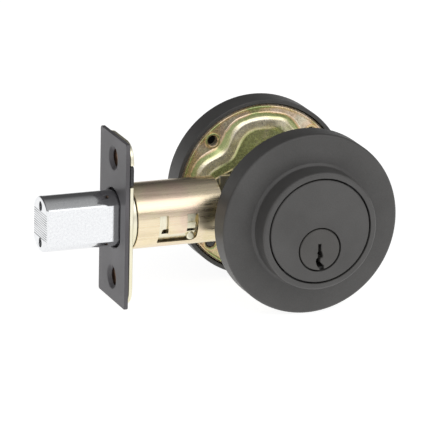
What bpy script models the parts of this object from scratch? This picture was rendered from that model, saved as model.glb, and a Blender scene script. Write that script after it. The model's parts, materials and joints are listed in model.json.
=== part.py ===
"""Deadbolt door lock: cylinder, latch and bolt, room-side rose and thumbturn, each piece its own solid.

Metres. +Z is up, the outside of the door is at -Y, and the bolt throws towards -X. The origin is where the axis
of the door's cross bore meets the axis of the latch bore. The bolt is modelled thrown.
"""

import math

import bmesh
import bpy
from mathutils import Matrix, Vector

MM = 0.001
GAP = 0.3 * MM                      # clearance between neighbouring pieces

# Driving dimensions
DOOR = 34.9 * MM                    # door thickness, clamped between the two roses
BACKSET = 60.3 * MM                 # bolt faceplate to the cross bore's axis
THROW = 25.4 * MM                   # bolt travel
AXIS_DROP = 6.35 * MM               # key and thumbturn axis, below the roses' centre
ROSE_R = 31.0 * MM
ROSE_DEPTH = 9.5 * MM
BOSS_R = 20.3 * MM
BOSS_RISE = 8.4 * MM
FACE_R = 17.6 * MM                  # cylinder face
PLUG_FACE_R = 7.35 * MM
PLUG_R = 6.35 * MM
PIN_PITCH = 3.81 * MM
PIN_R = 1.45 * MM
PINS = 5
PLATE_W = 25.4 * MM
PLATE_H = 57.15 * MM
PLATE_SCREWS = 41.28 * MM           # distance between the faceplate's two screw holes
TUBE_R = 11.1 * MM
TUBE_WALL = 0.8 * MM
BOLT_W = 13.5 * MM
BOLT_H = 19.0 * MM
BOLT_LENGTH = 33.3 * MM
MOUNT_SCREW_X = 9.5 * MM            # through screws, on a diagonal that clears the latch case
MOUNT_SCREW_Z = 16.5 * MM
CASE_HALF = 6.0 * MM                # half thickness of the latch case
CRANK_PIN_R = 1.5 * MM

# Derived places
OUTER = -DOOR / 2                   # outside face of the door
INNER = DOOR / 2                    # room-side face of the door
ROSE_FRONT = OUTER - ROSE_DEPTH
BOSS_FRONT = ROSE_FRONT - BOSS_RISE
EDGE_X = -BACKSET                   # front of the faceplate
AXIS_Z = -AXIS_DROP
BOLT_TIP = EDGE_X - THROW
BOLT_BACK = BOLT_TIP + BOLT_LENGTH
CRANK_R = THROW / math.sqrt(2)      # a quarter turn of the crank moves the bolt by its throw
YOKE_X = -THROW / 2                 # crank pin, bolt thrown
CRANK_ANGLE = math.radians(-45)     # crank from vertical, bolt thrown
FIRST_PIN_Y = BOSS_FRONT + 5.4 * MM


# ---------------------------------------------------------------- scene and materials

def clear_scene():
    for obj in list(bpy.data.objects):
        bpy.data.objects.remove(obj, do_unlink=True)


def material(name, colour, roughness, metallic):
    mat = bpy.data.materials.new(name)
    mat.use_nodes = True
    shader = mat.node_tree.nodes["Principled BSDF"]
    shader.inputs["Base Color"].default_value = (*colour, 1)
    shader.inputs["Roughness"].default_value = roughness
    shader.inputs["Metallic"].default_value = metallic
    mat.diffuse_color = (*colour, 1)
    return mat


def make_materials():
    return {
        "black": material("charcoal_finish", (0.085, 0.083, 0.085), 0.45, 0.5),
        "plate": material("faceplate_finish", (0.13, 0.127, 0.135), 0.42, 0.6),
        "chrome": material("bolt_chrome", (0.80, 0.81, 0.82), 0.10, 1.0),
        "zinc": material("yellow_zinc", (0.74, 0.66, 0.52), 0.25, 1.0),
        "cream": material("pale_zinc", (0.80, 0.76, 0.58), 0.30, 1.0),
        "iridescent": material("iridescent_zinc", (0.72, 0.62, 0.30), 0.15, 1.0),
        "grey": material("zinc_casting", (0.45, 0.47, 0.42), 0.35, 1.0),
        "steel": material("steel", (0.55, 0.55, 0.56), 0.30, 1.0),
        "dark_steel": material("hardened_steel", (0.03, 0.03, 0.032), 0.35, 0.9),
        "brass": material("brass", (0.75, 0.58, 0.28), 0.25, 1.0),
        "rubber": material("gasket_rubber", (0.02, 0.02, 0.02), 0.80, 0.0),
        "nylon": material("black_nylon", (0.025, 0.025, 0.027), 0.55, 0.0),
    }


# ---------------------------------------------------------------- mesh helpers

def finish(name, bm, mat):
    """Turns a bmesh into a named, smooth-shaded object of one material, with outward faces."""
    bmesh.ops.recalc_face_normals(bm, faces=bm.faces)
    mesh = bpy.data.meshes.new(name)
    bm.to_mesh(mesh)
    bm.free()
    mesh.shade_smooth()
    mesh.set_sharp_from_angle(angle=math.radians(32))
    obj = bpy.data.objects.new(name, mesh)
    bpy.context.scene.collection.objects.link(obj)
    if mat:
        mesh.materials.append(mat)
    return obj


def lathe(name, profile, mat, centre=(0, 0), axis="Y", segments=40):
    """Turns (radius, place) points, a closed outline, about an axis parallel to X, Y or Z.

    centre is the axis's place in the other two coordinates. A radius of zero closes the piece on its axis."""
    bm = bmesh.new()
    rings = []
    for radius, place in profile:
        count = 1 if radius == 0 else segments
        ring = []
        for step in range(count):
            turn = 2 * math.pi * step / segments
            a = centre[0] + radius * math.cos(turn)
            b = centre[1] + radius * math.sin(turn)
            spot = {"X": (place, a, b), "Y": (a, place, b), "Z": (a, b, place)}[axis]
            ring.append(bm.verts.new(spot))
        rings.append(ring)
    for first, second in zip(rings, rings[1:] + rings[:1]):
        if len(first) == 1 and len(second) == 1:
            continue
        for step in range(segments):
            after = (step + 1) % segments
            corners = [first[step % len(first)], first[after % len(first)],
                       second[after % len(second)], second[step % len(second)]]
            bm.faces.new(list(dict.fromkeys(corners)))
    return finish(name, bm, mat)


def prism(name, outline, low, high, mat, axis="Y"):
    """Extrudes a closed outline along X, Y or Z; the outline is in the other two coordinates, in order."""
    bm = bmesh.new()

    def spot(a, b, place):
        return {"X": (place, a, b), "Y": (a, place, b), "Z": (a, b, place)}[axis]

    near = [bm.verts.new(spot(a, b, low)) for a, b in outline]
    far = [bm.verts.new(spot(a, b, high)) for a, b in outline]
    bm.faces.new(near)
    bm.faces.new(far)
    for i in range(len(outline)):
        j = (i + 1) % len(outline)
        bm.faces.new((near[i], near[j], far[j], far[i]))
    return finish(name, bm, mat)


def box(name, low, high, mat):
    return prism(name, [(low[0], low[2]), (high[0], low[2]), (high[0], high[2]), (low[0], high[2])],
                 low[1], high[1], mat)


def arc(centre, radius, start, end, steps):
    """Points along an arc, angles in degrees, both ends included."""
    points = []
    for i in range(steps + 1):
        turn = math.radians(start + (end - start) * i / steps)
        points.append((centre[0] + radius * math.cos(turn), centre[1] + radius * math.sin(turn)))
    return points


def circle(centre, radius, steps=20):
    return arc(centre, radius, 0, 360 - 360 / steps, steps - 1)


def rod(name, centre, radius, low, high, mat, axis="Y", segments=20, head=None):
    """A round bar, with an optional head given as (radius, length) beyond its high end."""
    profile = [(0, low), (radius, low), (radius, high)]
    if head:
        profile += [(head[0], high), (head[0], high + head[1] * 0.6), (head[0] * 0.75, high + head[1])]
        profile += [(0, high + head[1])]
    else:
        profile += [(0, high)]
    return lathe(name, profile, mat, centre, axis, segments)


def washer(name, centre, inner, outer, low, high, mat, axis="Y", segments=24):
    return lathe(name, [(inner, low), (outer, low), (outer, high), (inner, high)], mat, centre, axis,
                 segments)


def boolean(obj, tool, operation="DIFFERENCE"):
    """Adds a Boolean modifier with a hidden tool object."""
    tool.hide_render = True
    tool.display_type = "WIRE"
    modifier = obj.modifiers.new(f"{operation.lower()}_{tool.name}", "BOOLEAN")
    modifier.operation = operation
    modifier.solver = "EXACT"
    modifier.object = tool
    return obj


def cut(obj, *tools):
    for tool in tools:
        boolean(obj, tool)
    return obj


def join(obj, *tools):
    for tool in tools:
        boolean(obj, tool, "UNION")
    return obj


def resharpen(obj):
    """Bakes the modifiers into the mesh and marks its edges again, so that cut pieces shade cleanly."""
    graph = bpy.context.evaluated_depsgraph_get()
    mesh = bpy.data.meshes.new_from_object(obj.evaluated_get(graph))
    obj.modifiers.clear()
    obj.data = mesh
    mesh.shade_smooth()
    mesh.set_sharp_from_angle(angle=math.radians(32))
    return obj


# ---------------------------------------------------------------- outside assembly

def exterior_gasket(mats):
    washer("exterior_gasket", (0, 0), 27.2 * MM, 30.3 * MM, OUTER - 0.6 * MM, OUTER, mats["rubber"],
           segments=40)


def rose_profile(rim, sign, boss_rise, bore):
    """Section of a rose: rounded edge, nearly flat face, bored boss; sign points away from the door."""
    wall = 1.4 * MM
    front = sign * (DOOR / 2 + ROSE_DEPTH)
    top = front + sign * boss_rise
    outline = [(ROSE_R, rim), (ROSE_R, front - sign * 1.5 * MM),
               (ROSE_R - 0.45 * MM, front - sign * 0.45 * MM)]
    outline += [(ROSE_R - 1.5 * MM, front), (BOSS_R + 0.4 * MM, front + sign * 0.35 * MM)]
    outline += [(BOSS_R - 0.2 * MM, top - sign * 0.8 * MM), (BOSS_R - 1.0 * MM, top), (bore, top)]
    outline += [(bore, top - sign * wall), (BOSS_R - wall, top - sign * wall)]
    outline += [(BOSS_R - wall, front - sign * wall), (ROSE_R - wall, front - sign * wall),
                (ROSE_R - wall, rim)]
    return outline


def exterior_rose(mats):
    rim = OUTER - 0.9 * MM
    lathe("exterior_rose", rose_profile(rim, -1, BOSS_RISE, FACE_R + GAP), mats["black"], segments=40)


def guard_ring(mats):
    washer("guard_ring", (0, 0), FACE_R + 0.15 * MM + GAP / 2, BOSS_R - 1.4 * MM - GAP, BOSS_FRONT + 1.8 * MM,
           ROSE_FRONT + 1.0 * MM, mats["dark_steel"])


def pin_places():
    return [FIRST_PIN_Y + i * PIN_PITCH for i in range(PINS)]


BODY_BACK = BOSS_FRONT + 23.6 * MM
TOWER_TOP = 11.8 * MM
CYL_SCREW_X = 13.0 * MM


def cylinder_body(mats):
    """Face flange, barrel round the plug and the tower that holds the pins, bored for the plug and the pins."""
    face_back = BOSS_FRONT + 3.4 * MM
    body = lathe("cylinder_body", [(0, BOSS_FRONT), (FACE_R - 0.35 * MM, BOSS_FRONT),
                                   (FACE_R, BOSS_FRONT + 0.35 * MM), (FACE_R, face_back), (0, face_back)],
                 mats["black"], segments=48)
    half = 5.2 * MM
    barrel_r = PLUG_R + 2.9 * MM
    meet = math.degrees(math.acos(half / barrel_r))
    outline = [(half, TOWER_TOP), (-half, TOWER_TOP)] + arc((0, AXIS_Z), barrel_r, 180 - meet, 360 + meet, 16)
    join(body, prism("body_tower", outline, face_back - 1.0 * MM, BODY_BACK, None))
    for side in (-1, 1):
        lug = rod(f"body_lug_{side}", (side * CYL_SCREW_X, 0), 3.2 * MM, face_back - 1.0 * MM,
                  face_back + 7.0 * MM,
                  None, segments=16)
        join(body, lug)
    cut(body, rod("body_plug_face_hole", (0, AXIS_Z), PLUG_FACE_R + 0.2 * MM, BOSS_FRONT - MM,
                  BOSS_FRONT + 2.1 * MM,
                  None, segments=32))
    cut(body, rod("body_plug_bore", (0, AXIS_Z), PLUG_R + GAP, BOSS_FRONT - MM, BODY_BACK + MM, None,
                  segments=24))
    for i, place in enumerate(pin_places()):
        cut(body, rod(f"body_chamber_{i}", (0, place), PIN_R + GAP, -2.0 * MM, TOWER_TOP + MM, None, "Z", 10))
    for side in (-1, 1):
        cut(body, rod(f"body_screw_hole_{side}", (side * CYL_SCREW_X, 0), 1.6 * MM, face_back,
                      face_back + 9.0 * MM,
                      None, segments=12))
    resharpen(body)


def pin_stacks(mats):
    """Driver pins and their springs, above the shear line, and the strip that closes the chambers."""
    for i, place in enumerate(pin_places()):
        low = 0.5 * MM
        high = low + (4.2 + 0.3 * (i % 2)) * MM
        lathe(f"driver_pin_{i + 1}", [(0, low), (PIN_R - 0.3 * MM, low), (PIN_R, low + 0.3 * MM),
                                      (PIN_R, high), (0, high)],
              mats["brass"], (0, place), "Z", 8)
        coil(f"pin_spring_{i + 1}", (0, place), 1.0 * MM, 0.22 * MM, high + 0.6 * MM, TOWER_TOP - 0.6 * MM,
             4, mats["steel"])
    first, last = pin_places()[0], pin_places()[-1]
    low_y, high_y = first - 1.7 * MM, last + 2.4 * MM
    box("pin_cover", (-4.2 * MM, low_y, TOWER_TOP + GAP), (4.2 * MM, high_y, TOWER_TOP + GAP + 0.8 * MM),
        mats["brass"])


def coil(name, centre, radius, wire, low, high, turns, mat):
    """A helical spring along Z, swept from a five-sided wire."""
    bm = bmesh.new()
    per_turn, sides = 6, 4
    count = turns * per_turn
    rings = []
    for step in range(count + 1):
        turn = 2 * math.pi * step / per_turn
        centre_z = low + (high - low) * step / count
        ring = []
        for side in range(sides):
            around = 2 * math.pi * side / sides
            out = radius + wire * math.cos(around)
            ring.append(bm.verts.new((centre[0] + out * math.cos(turn), centre[1] + out * math.sin(turn),
                                      centre_z + wire * math.sin(around))))
        rings.append(ring)
    for first, second in zip(rings, rings[1:]):
        for side in range(sides):
            after = (side + 1) % sides
            bm.faces.new((first[side], first[after], second[after], second[side]))
    bm.faces.new(rings[0])
    bm.faces.new(rings[-1])
    return finish(name, bm, mat)


CYL_PLATE_FRONT = OUTER - 3.4 * MM
CYL_PLATE_BACK = OUTER - 2.0 * MM


def cylinder_plate(mats):
    plate = prism("cylinder_plate", circle((0, 0), 29.0 * MM, 36), CYL_PLATE_FRONT, CYL_PLATE_BACK,
                  mats["steel"])
    half = 5.2 * MM + GAP
    ring = PLUG_R + 2.9 * MM + GAP
    meet = math.degrees(math.acos(half / ring))
    top = TOWER_TOP + 1.6 * MM
    outline = [(half, top), (-half, top)] + arc((0, AXIS_Z), ring, 180 - meet, 360 + meet, 18)
    cut(plate, prism("plate_window", outline, CYL_PLATE_FRONT - MM, CYL_PLATE_BACK + MM, None))
    for side in (-1, 1):
        cut(plate, rod(f"plate_screw_{side}", (side * CYL_SCREW_X, 0), 1.8 * MM, CYL_PLATE_FRONT - MM,
                       CYL_PLATE_BACK + MM, None, segments=12))
        cut(plate, rod(f"plate_post_{side}", (side * MOUNT_SCREW_X, side * MOUNT_SCREW_Z), 3.0 * MM + GAP,
                       CYL_PLATE_FRONT - MM,
                       CYL_PLATE_BACK + MM, None, segments=16))
    resharpen(plate)
    for side, label in ((-1, "left"), (1, "right")):
        rod(f"cylinder_screw_{label}", (side * CYL_SCREW_X, 0), 1.3 * MM, BOSS_FRONT + 5.0 * MM,
            CYL_PLATE_BACK + GAP, mats["steel"], segments=10, head=(2.6 * MM, 1.5 * MM))


def mount_posts(mats):
    """Threaded posts: a flange before the plate, a neck through it and an open bore towards the room."""
    for side, label in ((1, "upper"), (-1, "lower")):
        flange_front = CYL_PLATE_FRONT - GAP - 1.0 * MM
        profile = [(0, flange_front), (4.3 * MM, flange_front), (4.3 * MM, CYL_PLATE_FRONT - GAP),
                   (3.0 * MM, CYL_PLATE_FRONT - GAP), (3.0 * MM, CYL_PLATE_BACK + GAP),
                   (3.7 * MM, CYL_PLATE_BACK + GAP),
                   (3.7 * MM, -7.6 * MM), (2.5 * MM, -7.6 * MM), (2.5 * MM, -18.0 * MM), (0, -18.0 * MM)]
        lathe(f"mount_post_{label}", profile, mats["steel"], (side * MOUNT_SCREW_X, side * MOUNT_SCREW_Z),
              segments=18)


# ---------------------------------------------------------------- key plug

PLUG_BACK = BOSS_FRONT + 25.8 * MM
LUG_BACK = PLUG_BACK + 1.4 * MM
CLIP_FRONT = BODY_BACK + GAP


def sector(name, centre, inner, outer, middle, width, low, high, mat=None, axis="Y", steps=8):
    """A block that fills part of a ring, middle and width in degrees."""
    outline = arc(centre, outer, middle - width / 2, middle + width / 2, steps)
    outline += arc(centre, inner, middle + width / 2, middle - width / 2, steps)
    return prism(name, outline, low, high, mat, axis)


def keyway_outline():
    """The paracentric slot: narrow at its top, zigzag towards the plug's rim."""
    half_top, z_top = 0.55, 1.9
    right = [(half_top, z_top), (half_top, -0.3), (1.25, -0.9), (1.25, -2.3), (0.35, -2.9), (0.35, -4.1),
             (1.35, -4.7), (1.35, -8.6)]
    left = [(-0.25, -8.6), (-0.25, -5.3), (-1.25, -4.6), (-1.25, -3.3), (-0.55, -2.7), (-0.55, -1.7),
            (-0.95, -1.2), (-0.55, -0.5), (-half_top, 0.2), (-half_top, z_top)]
    return [(x * MM, AXIS_Z + z * MM) for x, z in right + left]


def plug(mats):
    face_back = BOSS_FRONT + 1.7 * MM
    groove = PLUG_R - 0.9 * MM
    clip_back = CLIP_FRONT + 0.7 * MM + 2 * GAP
    profile = [(0, BOSS_FRONT), (PLUG_FACE_R - 0.3 * MM, BOSS_FRONT), (PLUG_FACE_R, BOSS_FRONT + 0.3 * MM),
               (PLUG_FACE_R, face_back), (PLUG_R, face_back), (PLUG_R, CLIP_FRONT - GAP),
               (groove, CLIP_FRONT - GAP),
               (groove, clip_back), (PLUG_R - 0.4 * MM, clip_back), (PLUG_R - 0.4 * MM, PLUG_BACK),
               (0, PLUG_BACK)]
    core = lathe("plug", profile, mats["black"], (0, AXIS_Z), segments=32)
    join(core, sector("plug_lug", (0, AXIS_Z), 3.4 * MM, 5.6 * MM, 90, 76, PLUG_BACK - 0.5 * MM, LUG_BACK))
    cut(core, prism("keyway", keyway_outline(), BOSS_FRONT - MM, BOSS_FRONT + 22.4 * MM, None))
    for i, place in enumerate(pin_places()):
        cut(core, rod(f"plug_chamber_{i}", (0, place), PIN_R + GAP, AXIS_Z - 0.4 * MM, MM, None, "Z", 10))
    resharpen(core)


def key_pins(mats):
    """Key pins, their tops at the shear line as the right key lifts them."""
    top = AXIS_Z + PLUG_R - 0.3 * MM
    for i, place in enumerate(pin_places()):
        tip = AXIS_Z + (0.2 + 0.5 * ((i * 2) % 3)) * MM
        lathe(f"key_pin_{i + 1}", [(0, tip), (0.6 * MM, tip), (PIN_R, tip + 0.9 * MM), (PIN_R, top),
                                   (0, top)],
              mats["brass"], (0, place), "Z", 8)


def plug_clip(mats):
    sector("plug_clip", (0, AXIS_Z), PLUG_R - 0.9 * MM + GAP, PLUG_R + 1.6 * MM, 0, 290, CLIP_FRONT,
           CLIP_FRONT + 0.7 * MM, mats["steel"], steps=24)


def tailpiece_cap(mats):
    inner = PLUG_R - 0.4 * MM + GAP
    outer = PLUG_R + 1.2 * MM
    back = -CASE_HALF - GAP
    profile = [(inner, PLUG_BACK - 0.9 * MM), (outer, PLUG_BACK - 0.9 * MM), (outer, back), (4.2 * MM, back),
               (4.2 * MM, back - 0.5 * MM), (inner, back - 0.5 * MM)]
    lathe("tailpiece_cap", profile, mats["steel"], (0, AXIS_Z), segments=24)


# ---------------------------------------------------------------- tailpiece, crank and thumbturn

SPINDLE_LOW = 20.6 * MM
BLADE_W = 6.2 * MM
BLADE_T = 2.2 * MM


def tailpiece(mats):
    """A flat blade with a round head, whose lug meets the plug's lug after some free turn."""
    head_front = LUG_BACK + GAP
    head_back = head_front + 0.7 * MM
    blade = lathe("tailpiece", [(0, head_front), (5.5 * MM, head_front), (5.5 * MM, head_back),
                                (0, head_back)],
                  mats["steel"], (0, AXIS_Z), segments=20)
    join(blade, box("tail_blade", (-BLADE_T / 2, head_front + 0.2 * MM, AXIS_Z - BLADE_W / 2),
                    (BLADE_T / 2, 27.5 * MM, AXIS_Z + BLADE_W / 2), None))
    join(blade, sector("tail_lug", (0, AXIS_Z), 3.4 * MM, 5.5 * MM, 270, 76, LUG_BACK - 1.0 * MM,
                       head_front + 0.2 * MM))
    resharpen(blade)


def blade_slot(name, low, high):
    """A slot for the tailpiece's blade, with clearance all round."""
    return box(name, (-BLADE_T / 2 - GAP, low, AXIS_Z - BLADE_W / 2 - GAP),
               (BLADE_T / 2 + GAP, high, AXIS_Z + BLADE_W / 2 + GAP), None)


def crank_arm_outline():
    """An arm from the hub to the crank pin, round at both ends, leaning by the crank's rest angle."""
    hub, eye = 5.2 * MM, 2.7 * MM
    points = arc((0, 0), hub, 180, 360, 10) + arc((0, CRANK_R), eye, 0, 180, 10)
    lean = Matrix.Rotation(-CRANK_ANGLE, 2)
    return [(p[0], p[1] + AXIS_Z) for p in (lean @ Vector(point) for point in points)]


def crank_pin_place():
    return CRANK_R * math.sin(CRANK_ANGLE), AXIS_Z + CRANK_R * math.cos(CRANK_ANGLE)


def crank(mats):
    hub = rod("crank", (0, AXIS_Z), 5.3 * MM, -CASE_HALF, CASE_HALF, mats["steel"], segments=24)
    for side, label in ((-1, "near"), (1, "far")):
        low, high = sorted((side * 2.0 * MM, side * 3.4 * MM))
        join(hub, prism(f"crank_arm_{label}", crank_arm_outline(), low, high, None))
    cut(hub, blade_slot("crank_slot", -CASE_HALF - MM, CASE_HALF + MM))
    cut(hub, rod("crank_eye", crank_pin_place(), CRANK_PIN_R + 0.25 * MM, -5 * MM, 5 * MM, None, segments=16))
    resharpen(hub)
    rod("crank_pin", crank_pin_place(), CRANK_PIN_R, -3.4 * MM, 3.4 * MM, mats["steel"], segments=16)


ROSE_IN_FRONT = INNER + ROSE_DEPTH
BOSS_IN_RISE = 4.2 * MM
BOSS_IN_FRONT = ROSE_IN_FRONT + BOSS_IN_RISE
SPINDLE_R = 6.6 * MM


def turn_spindle(mats):
    """A round spindle, grooved for its clip, slotted for the tailpiece and square at its end."""
    groove_low = BOSS_IN_FRONT - 5.2 * MM
    groove_high = groove_low + 1.4 * MM
    profile = [(0, SPINDLE_LOW), (SPINDLE_R - 0.5 * MM, SPINDLE_LOW), (SPINDLE_R, SPINDLE_LOW + 0.5 * MM),
               (SPINDLE_R, groove_low), (5.6 * MM, groove_low), (5.6 * MM, groove_high),
               (SPINDLE_R, groove_high),
               (SPINDLE_R, BOSS_IN_FRONT + 0.6 * MM), (0, BOSS_IN_FRONT + 0.6 * MM)]
    spindle = lathe("turn_spindle", profile, mats["steel"], (0, AXIS_Z), segments=24)
    join(spindle, box("spindle_square", (-3 * MM, BOSS_IN_FRONT, AXIS_Z - 3 * MM),
                      (3 * MM, BOSS_IN_FRONT + 8 * MM, AXIS_Z + 3 * MM), None))
    cut(spindle, blade_slot("spindle_slot", SPINDLE_LOW - MM, 28.0 * MM))
    resharpen(spindle)
    sector("spindle_clip", (0, AXIS_Z), 5.6 * MM + GAP, 9.2 * MM, -90, 280, groove_low + GAP,
           groove_high - GAP, mats["steel"], steps=20)


def wave_washer(mats):
    """A thin spring washer waved three times round, between the clip and the inner rose."""
    low, high = BOSS_IN_FRONT - 3.2 * MM, BOSS_IN_FRONT - 1.9 * MM
    middle, swing, half = (low + high) / 2, 0.3 * MM, 0.25 * MM
    segments = 24
    bm = bmesh.new()
    rings = []
    for step in range(segments):
        turn = 2 * math.pi * step / segments
        place = middle + swing * math.sin(3 * turn)
        ring = []
        for radius, side in ((7.2, -1), (10.0, -1), (10.0, 1), (7.2, 1)):
            ring.append(bm.verts.new((radius * MM * math.cos(turn), place + side * half,
                                      AXIS_Z + radius * MM * math.sin(turn))))
        rings.append(ring)
    for first, second in zip(rings, rings[1:] + rings[:1]):
        for corner in range(4):
            after = (corner + 1) % 4
            bm.faces.new((first[corner], first[after], second[after], second[corner]))
    finish("wave_washer", bm, mats["steel"])


def thumbturn(mats):
    """A round skirt and a tapering paddle, level while the bolt is thrown."""
    low = BOSS_IN_FRONT + 0.9 * MM
    skirt = 9.6 * MM
    tip = INNER + 32.0 * MM
    turn = lathe("thumbturn", [(0, low), (skirt, low), (skirt, low + 1.4 * MM),
                               (skirt - 0.8 * MM, low + 2.2 * MM),
                               (5.0 * MM, low + 2.8 * MM), (0, low + 2.8 * MM)], mats["black"], (0, AXIS_Z),
                               segments=40)
    outline = []
    for x, y in ((-6.5, 2.0), (-9.0, 7.0), (-15.5, 11.0), (-16.0, 15.0)):
        outline.append((x * MM, low + y * MM))
    outline += [(-14.5 * MM, tip - 0.8 * MM), (-12.5 * MM, tip), (12.5 * MM, tip),
                (14.5 * MM, tip - 0.8 * MM)]
    for x, y in ((16.0, 15.0), (15.5, 11.0), (9.0, 7.0), (6.5, 2.0)):
        outline.append((x * MM, low + y * MM))
    paddle = prism("thumb_paddle", outline, AXIS_Z - 3.4 * MM, AXIS_Z + 3.4 * MM, None, "Z")
    bevel = paddle.modifiers.new("bevel", "BEVEL")
    bevel.width = 1.3 * MM
    bevel.segments = 2
    bevel.limit_method = "ANGLE"
    join(turn, paddle)
    cut(turn, box("thumb_socket", (-3 * MM - GAP, low - MM, AXIS_Z - 3 * MM - GAP),
                  (3 * MM + GAP, BOSS_IN_FRONT + 8.4 * MM, AXIS_Z + 3 * MM + GAP), None))
    cut(turn, rod("thumb_relief", (0, AXIS_Z), SPINDLE_R + GAP, low - 2 * MM, low, None))
    resharpen(turn)


# ---------------------------------------------------------------- latch, fixed pieces

FACEPLATE_T = 1.3 * MM
FACEPLATE_BACK = EDGE_X + FACEPLATE_T
BACKING_FRONT = FACEPLATE_BACK + GAP
BACKING_T = 1.3 * MM
BACKING_BACK = BACKING_FRONT + BACKING_T
COLLAR_BACK = BACKING_BACK + 2.0 * MM     # the plate's drawn collar, in front of the tube
TUBE_FRONT = COLLAR_BACK + GAP
TUBE_BACK = -24.6 * MM


def bolt_outline(grow=0.0):
    """Bolt section in Y, Z: flat sides, rounded top and bottom."""
    half = BOLT_W / 2
    flat = 6.2 * MM
    crown = BOLT_H / 2 - flat
    radius = (half * half + crown * crown) / (2 * crown)
    spread = math.degrees(math.asin(half / radius))
    top = arc((0, flat + crown - radius), radius + grow, 90 - spread, 90 + spread, 10)
    bottom = arc((0, -flat - crown + radius), radius + grow, 270 - spread, 270 + spread, 10)
    outline = top + bottom
    side = half + grow
    return [(math.copysign(side, y) if abs(abs(y) - half) <= 1e-5 else max(-side, min(side, y)), z)
            for y, z in outline]


def plate_outline(width, height):
    return [(-width / 2, -height / 2), (width / 2, -height / 2), (width / 2, height / 2),
            (-width / 2, height / 2)]


def faceplate(mats):
    plate = prism("faceplate", plate_outline(PLATE_W, PLATE_H), EDGE_X, FACEPLATE_BACK, mats["plate"], "X")
    cut(plate, prism("faceplate_window", bolt_outline(0.7 * MM), EDGE_X - MM, FACEPLATE_BACK + MM, None, "X"))
    for side in (-1, 1):
        z = side * PLATE_SCREWS / 2
        funnel = lathe(f"faceplate_hole_{side}", [(0, EDGE_X - MM), (4.15 * MM + 0.9 * MM, EDGE_X - MM),
                                                  (4.15 * MM, EDGE_X), (3.0 * MM, FACEPLATE_BACK),
                                                  (3.0 * MM, FACEPLATE_BACK + MM), (0, FACEPLATE_BACK + MM)],
                       None, (0, z), "X", 24)
        cut(plate, funnel)
    resharpen(plate)


TAB_LOW, TAB_HIGH = 13.8 * MM, 20.8 * MM
TAB_IN = -7.0 * MM                   # the tab and its rib stay clear of the screw's dimple
RIB_OUT, RIB_LOW = -9.5 * MM, 3.0 * MM
END_PAD_Z = 16.0 * MM               # the plate's ends are a little thicker and seat in the door
END_PAD_RISE = 0.15 * MM
BACKING_CORNER = 6.3 * MM


def backing_end(side, width, height, start):
    """One end of the backing plate in Y and Z, from z = start out to its round corners."""
    centre_y, centre_z = width / 2 - BACKING_CORNER, height / 2 - BACKING_CORNER
    points = [(-width / 2, start), (width / 2, start)] + arc((centre_y, centre_z), BACKING_CORNER, 0, 90, 6)
    points += arc((-centre_y, centre_z), BACKING_CORNER, 90, 180, 6)
    return [(y, side * z) for y, z in points]


def backing_plate(mats):
    """Stamped plate behind the faceplate, round-cornered, dimpled rearwards round its two screw holes."""
    width, height = PLATE_W - 0.6 * MM, PLATE_H - 0.8 * MM
    outline = backing_end(1, width, height, 0.0)[2:] + backing_end(-1, width, height, 0.0)[:1:-1]
    plate = prism("backing_plate", outline, BACKING_FRONT, BACKING_BACK, mats["cream"], "X")
    for side in (-1, 1):
        join(plate, prism(f"backing_pad_{side}", backing_end(side, width, height, END_PAD_Z),
                          BACKING_FRONT + 0.2 * MM, BACKING_BACK + END_PAD_RISE, None, "X"))
    for side in (-1, 1):
        z = side * PLATE_SCREWS / 2
        dimple = lathe(f"backing_dimple_{side}",
                       [(0, BACKING_BACK - 0.5 * MM), (6.2 * MM, BACKING_BACK - 0.5 * MM),
                        (4.2 * MM, BACKING_BACK + 1.5 * MM), (0, BACKING_BACK + 1.5 * MM)],
                       None, (0, z), "X", 20)
        join(plate, dimple)
        funnel = lathe(f"backing_hole_{side}", [(0, BACKING_FRONT - MM), (4.9 * MM, BACKING_FRONT - MM),
                                                (4.0 * MM, BACKING_FRONT),
                                                (2.3 * MM, BACKING_BACK + 1.0 * MM),
                                                (2.3 * MM, BACKING_BACK + 3 * MM),
                                                (0, BACKING_BACK + 3 * MM)],
                       None, (0, z), "X", 20)
        cut(plate, funnel)
    join(plate, rod("backing_collar", (0, 0), TUBE_R - 0.2 * MM, BACKING_FRONT + 0.5 * MM, COLLAR_BACK, None,
                    "X", 36))
    cut(plate, rod("backing_window", (0, 0), TUBE_R - TUBE_WALL, BACKING_FRONT - MM, COLLAR_BACK + MM, None,
                   "X", 36))
    cut(plate, box("backing_notch", (BACKING_FRONT - MM, -PLATE_W, TAB_LOW - GAP),
                   (BACKING_BACK + GAP, TAB_IN + GAP, TAB_HIGH + GAP), None),
        box("backing_rib_notch", (BACKING_FRONT - MM, RIB_OUT - GAP, RIB_LOW - GAP),
            (BACKING_BACK + GAP, TAB_IN + GAP, TAB_LOW), None))
    resharpen(plate)


def bolt_guide(mats):
    """Black plastic collar in the tube's mouth that guides the bolt, ribbed to a tab at the plate's edge."""
    slip = 0.2 * MM
    guide = rod("bolt_guide", (0, 0), TUBE_R - TUBE_WALL - slip, BACKING_FRONT, BACKING_FRONT + 5.0 * MM,
                mats["nylon"], "X", 32)
    join(guide, box("guide_tab", (BACKING_FRONT, -PLATE_W / 2 + 0.2 * MM, TAB_LOW),
                    (BACKING_BACK, TAB_IN, TAB_HIGH), None),
         box("guide_rib", (BACKING_FRONT + 0.1 * MM, RIB_OUT, RIB_LOW),
             (BACKING_BACK - 0.1 * MM, TAB_IN - 0.1 * MM, TAB_LOW + 0.5 * MM), None))
    cut(guide, prism("guide_bore", bolt_outline(slip), BACKING_FRONT - MM, BACKING_FRONT + 7 * MM, None, "X"))
    resharpen(guide)


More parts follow.
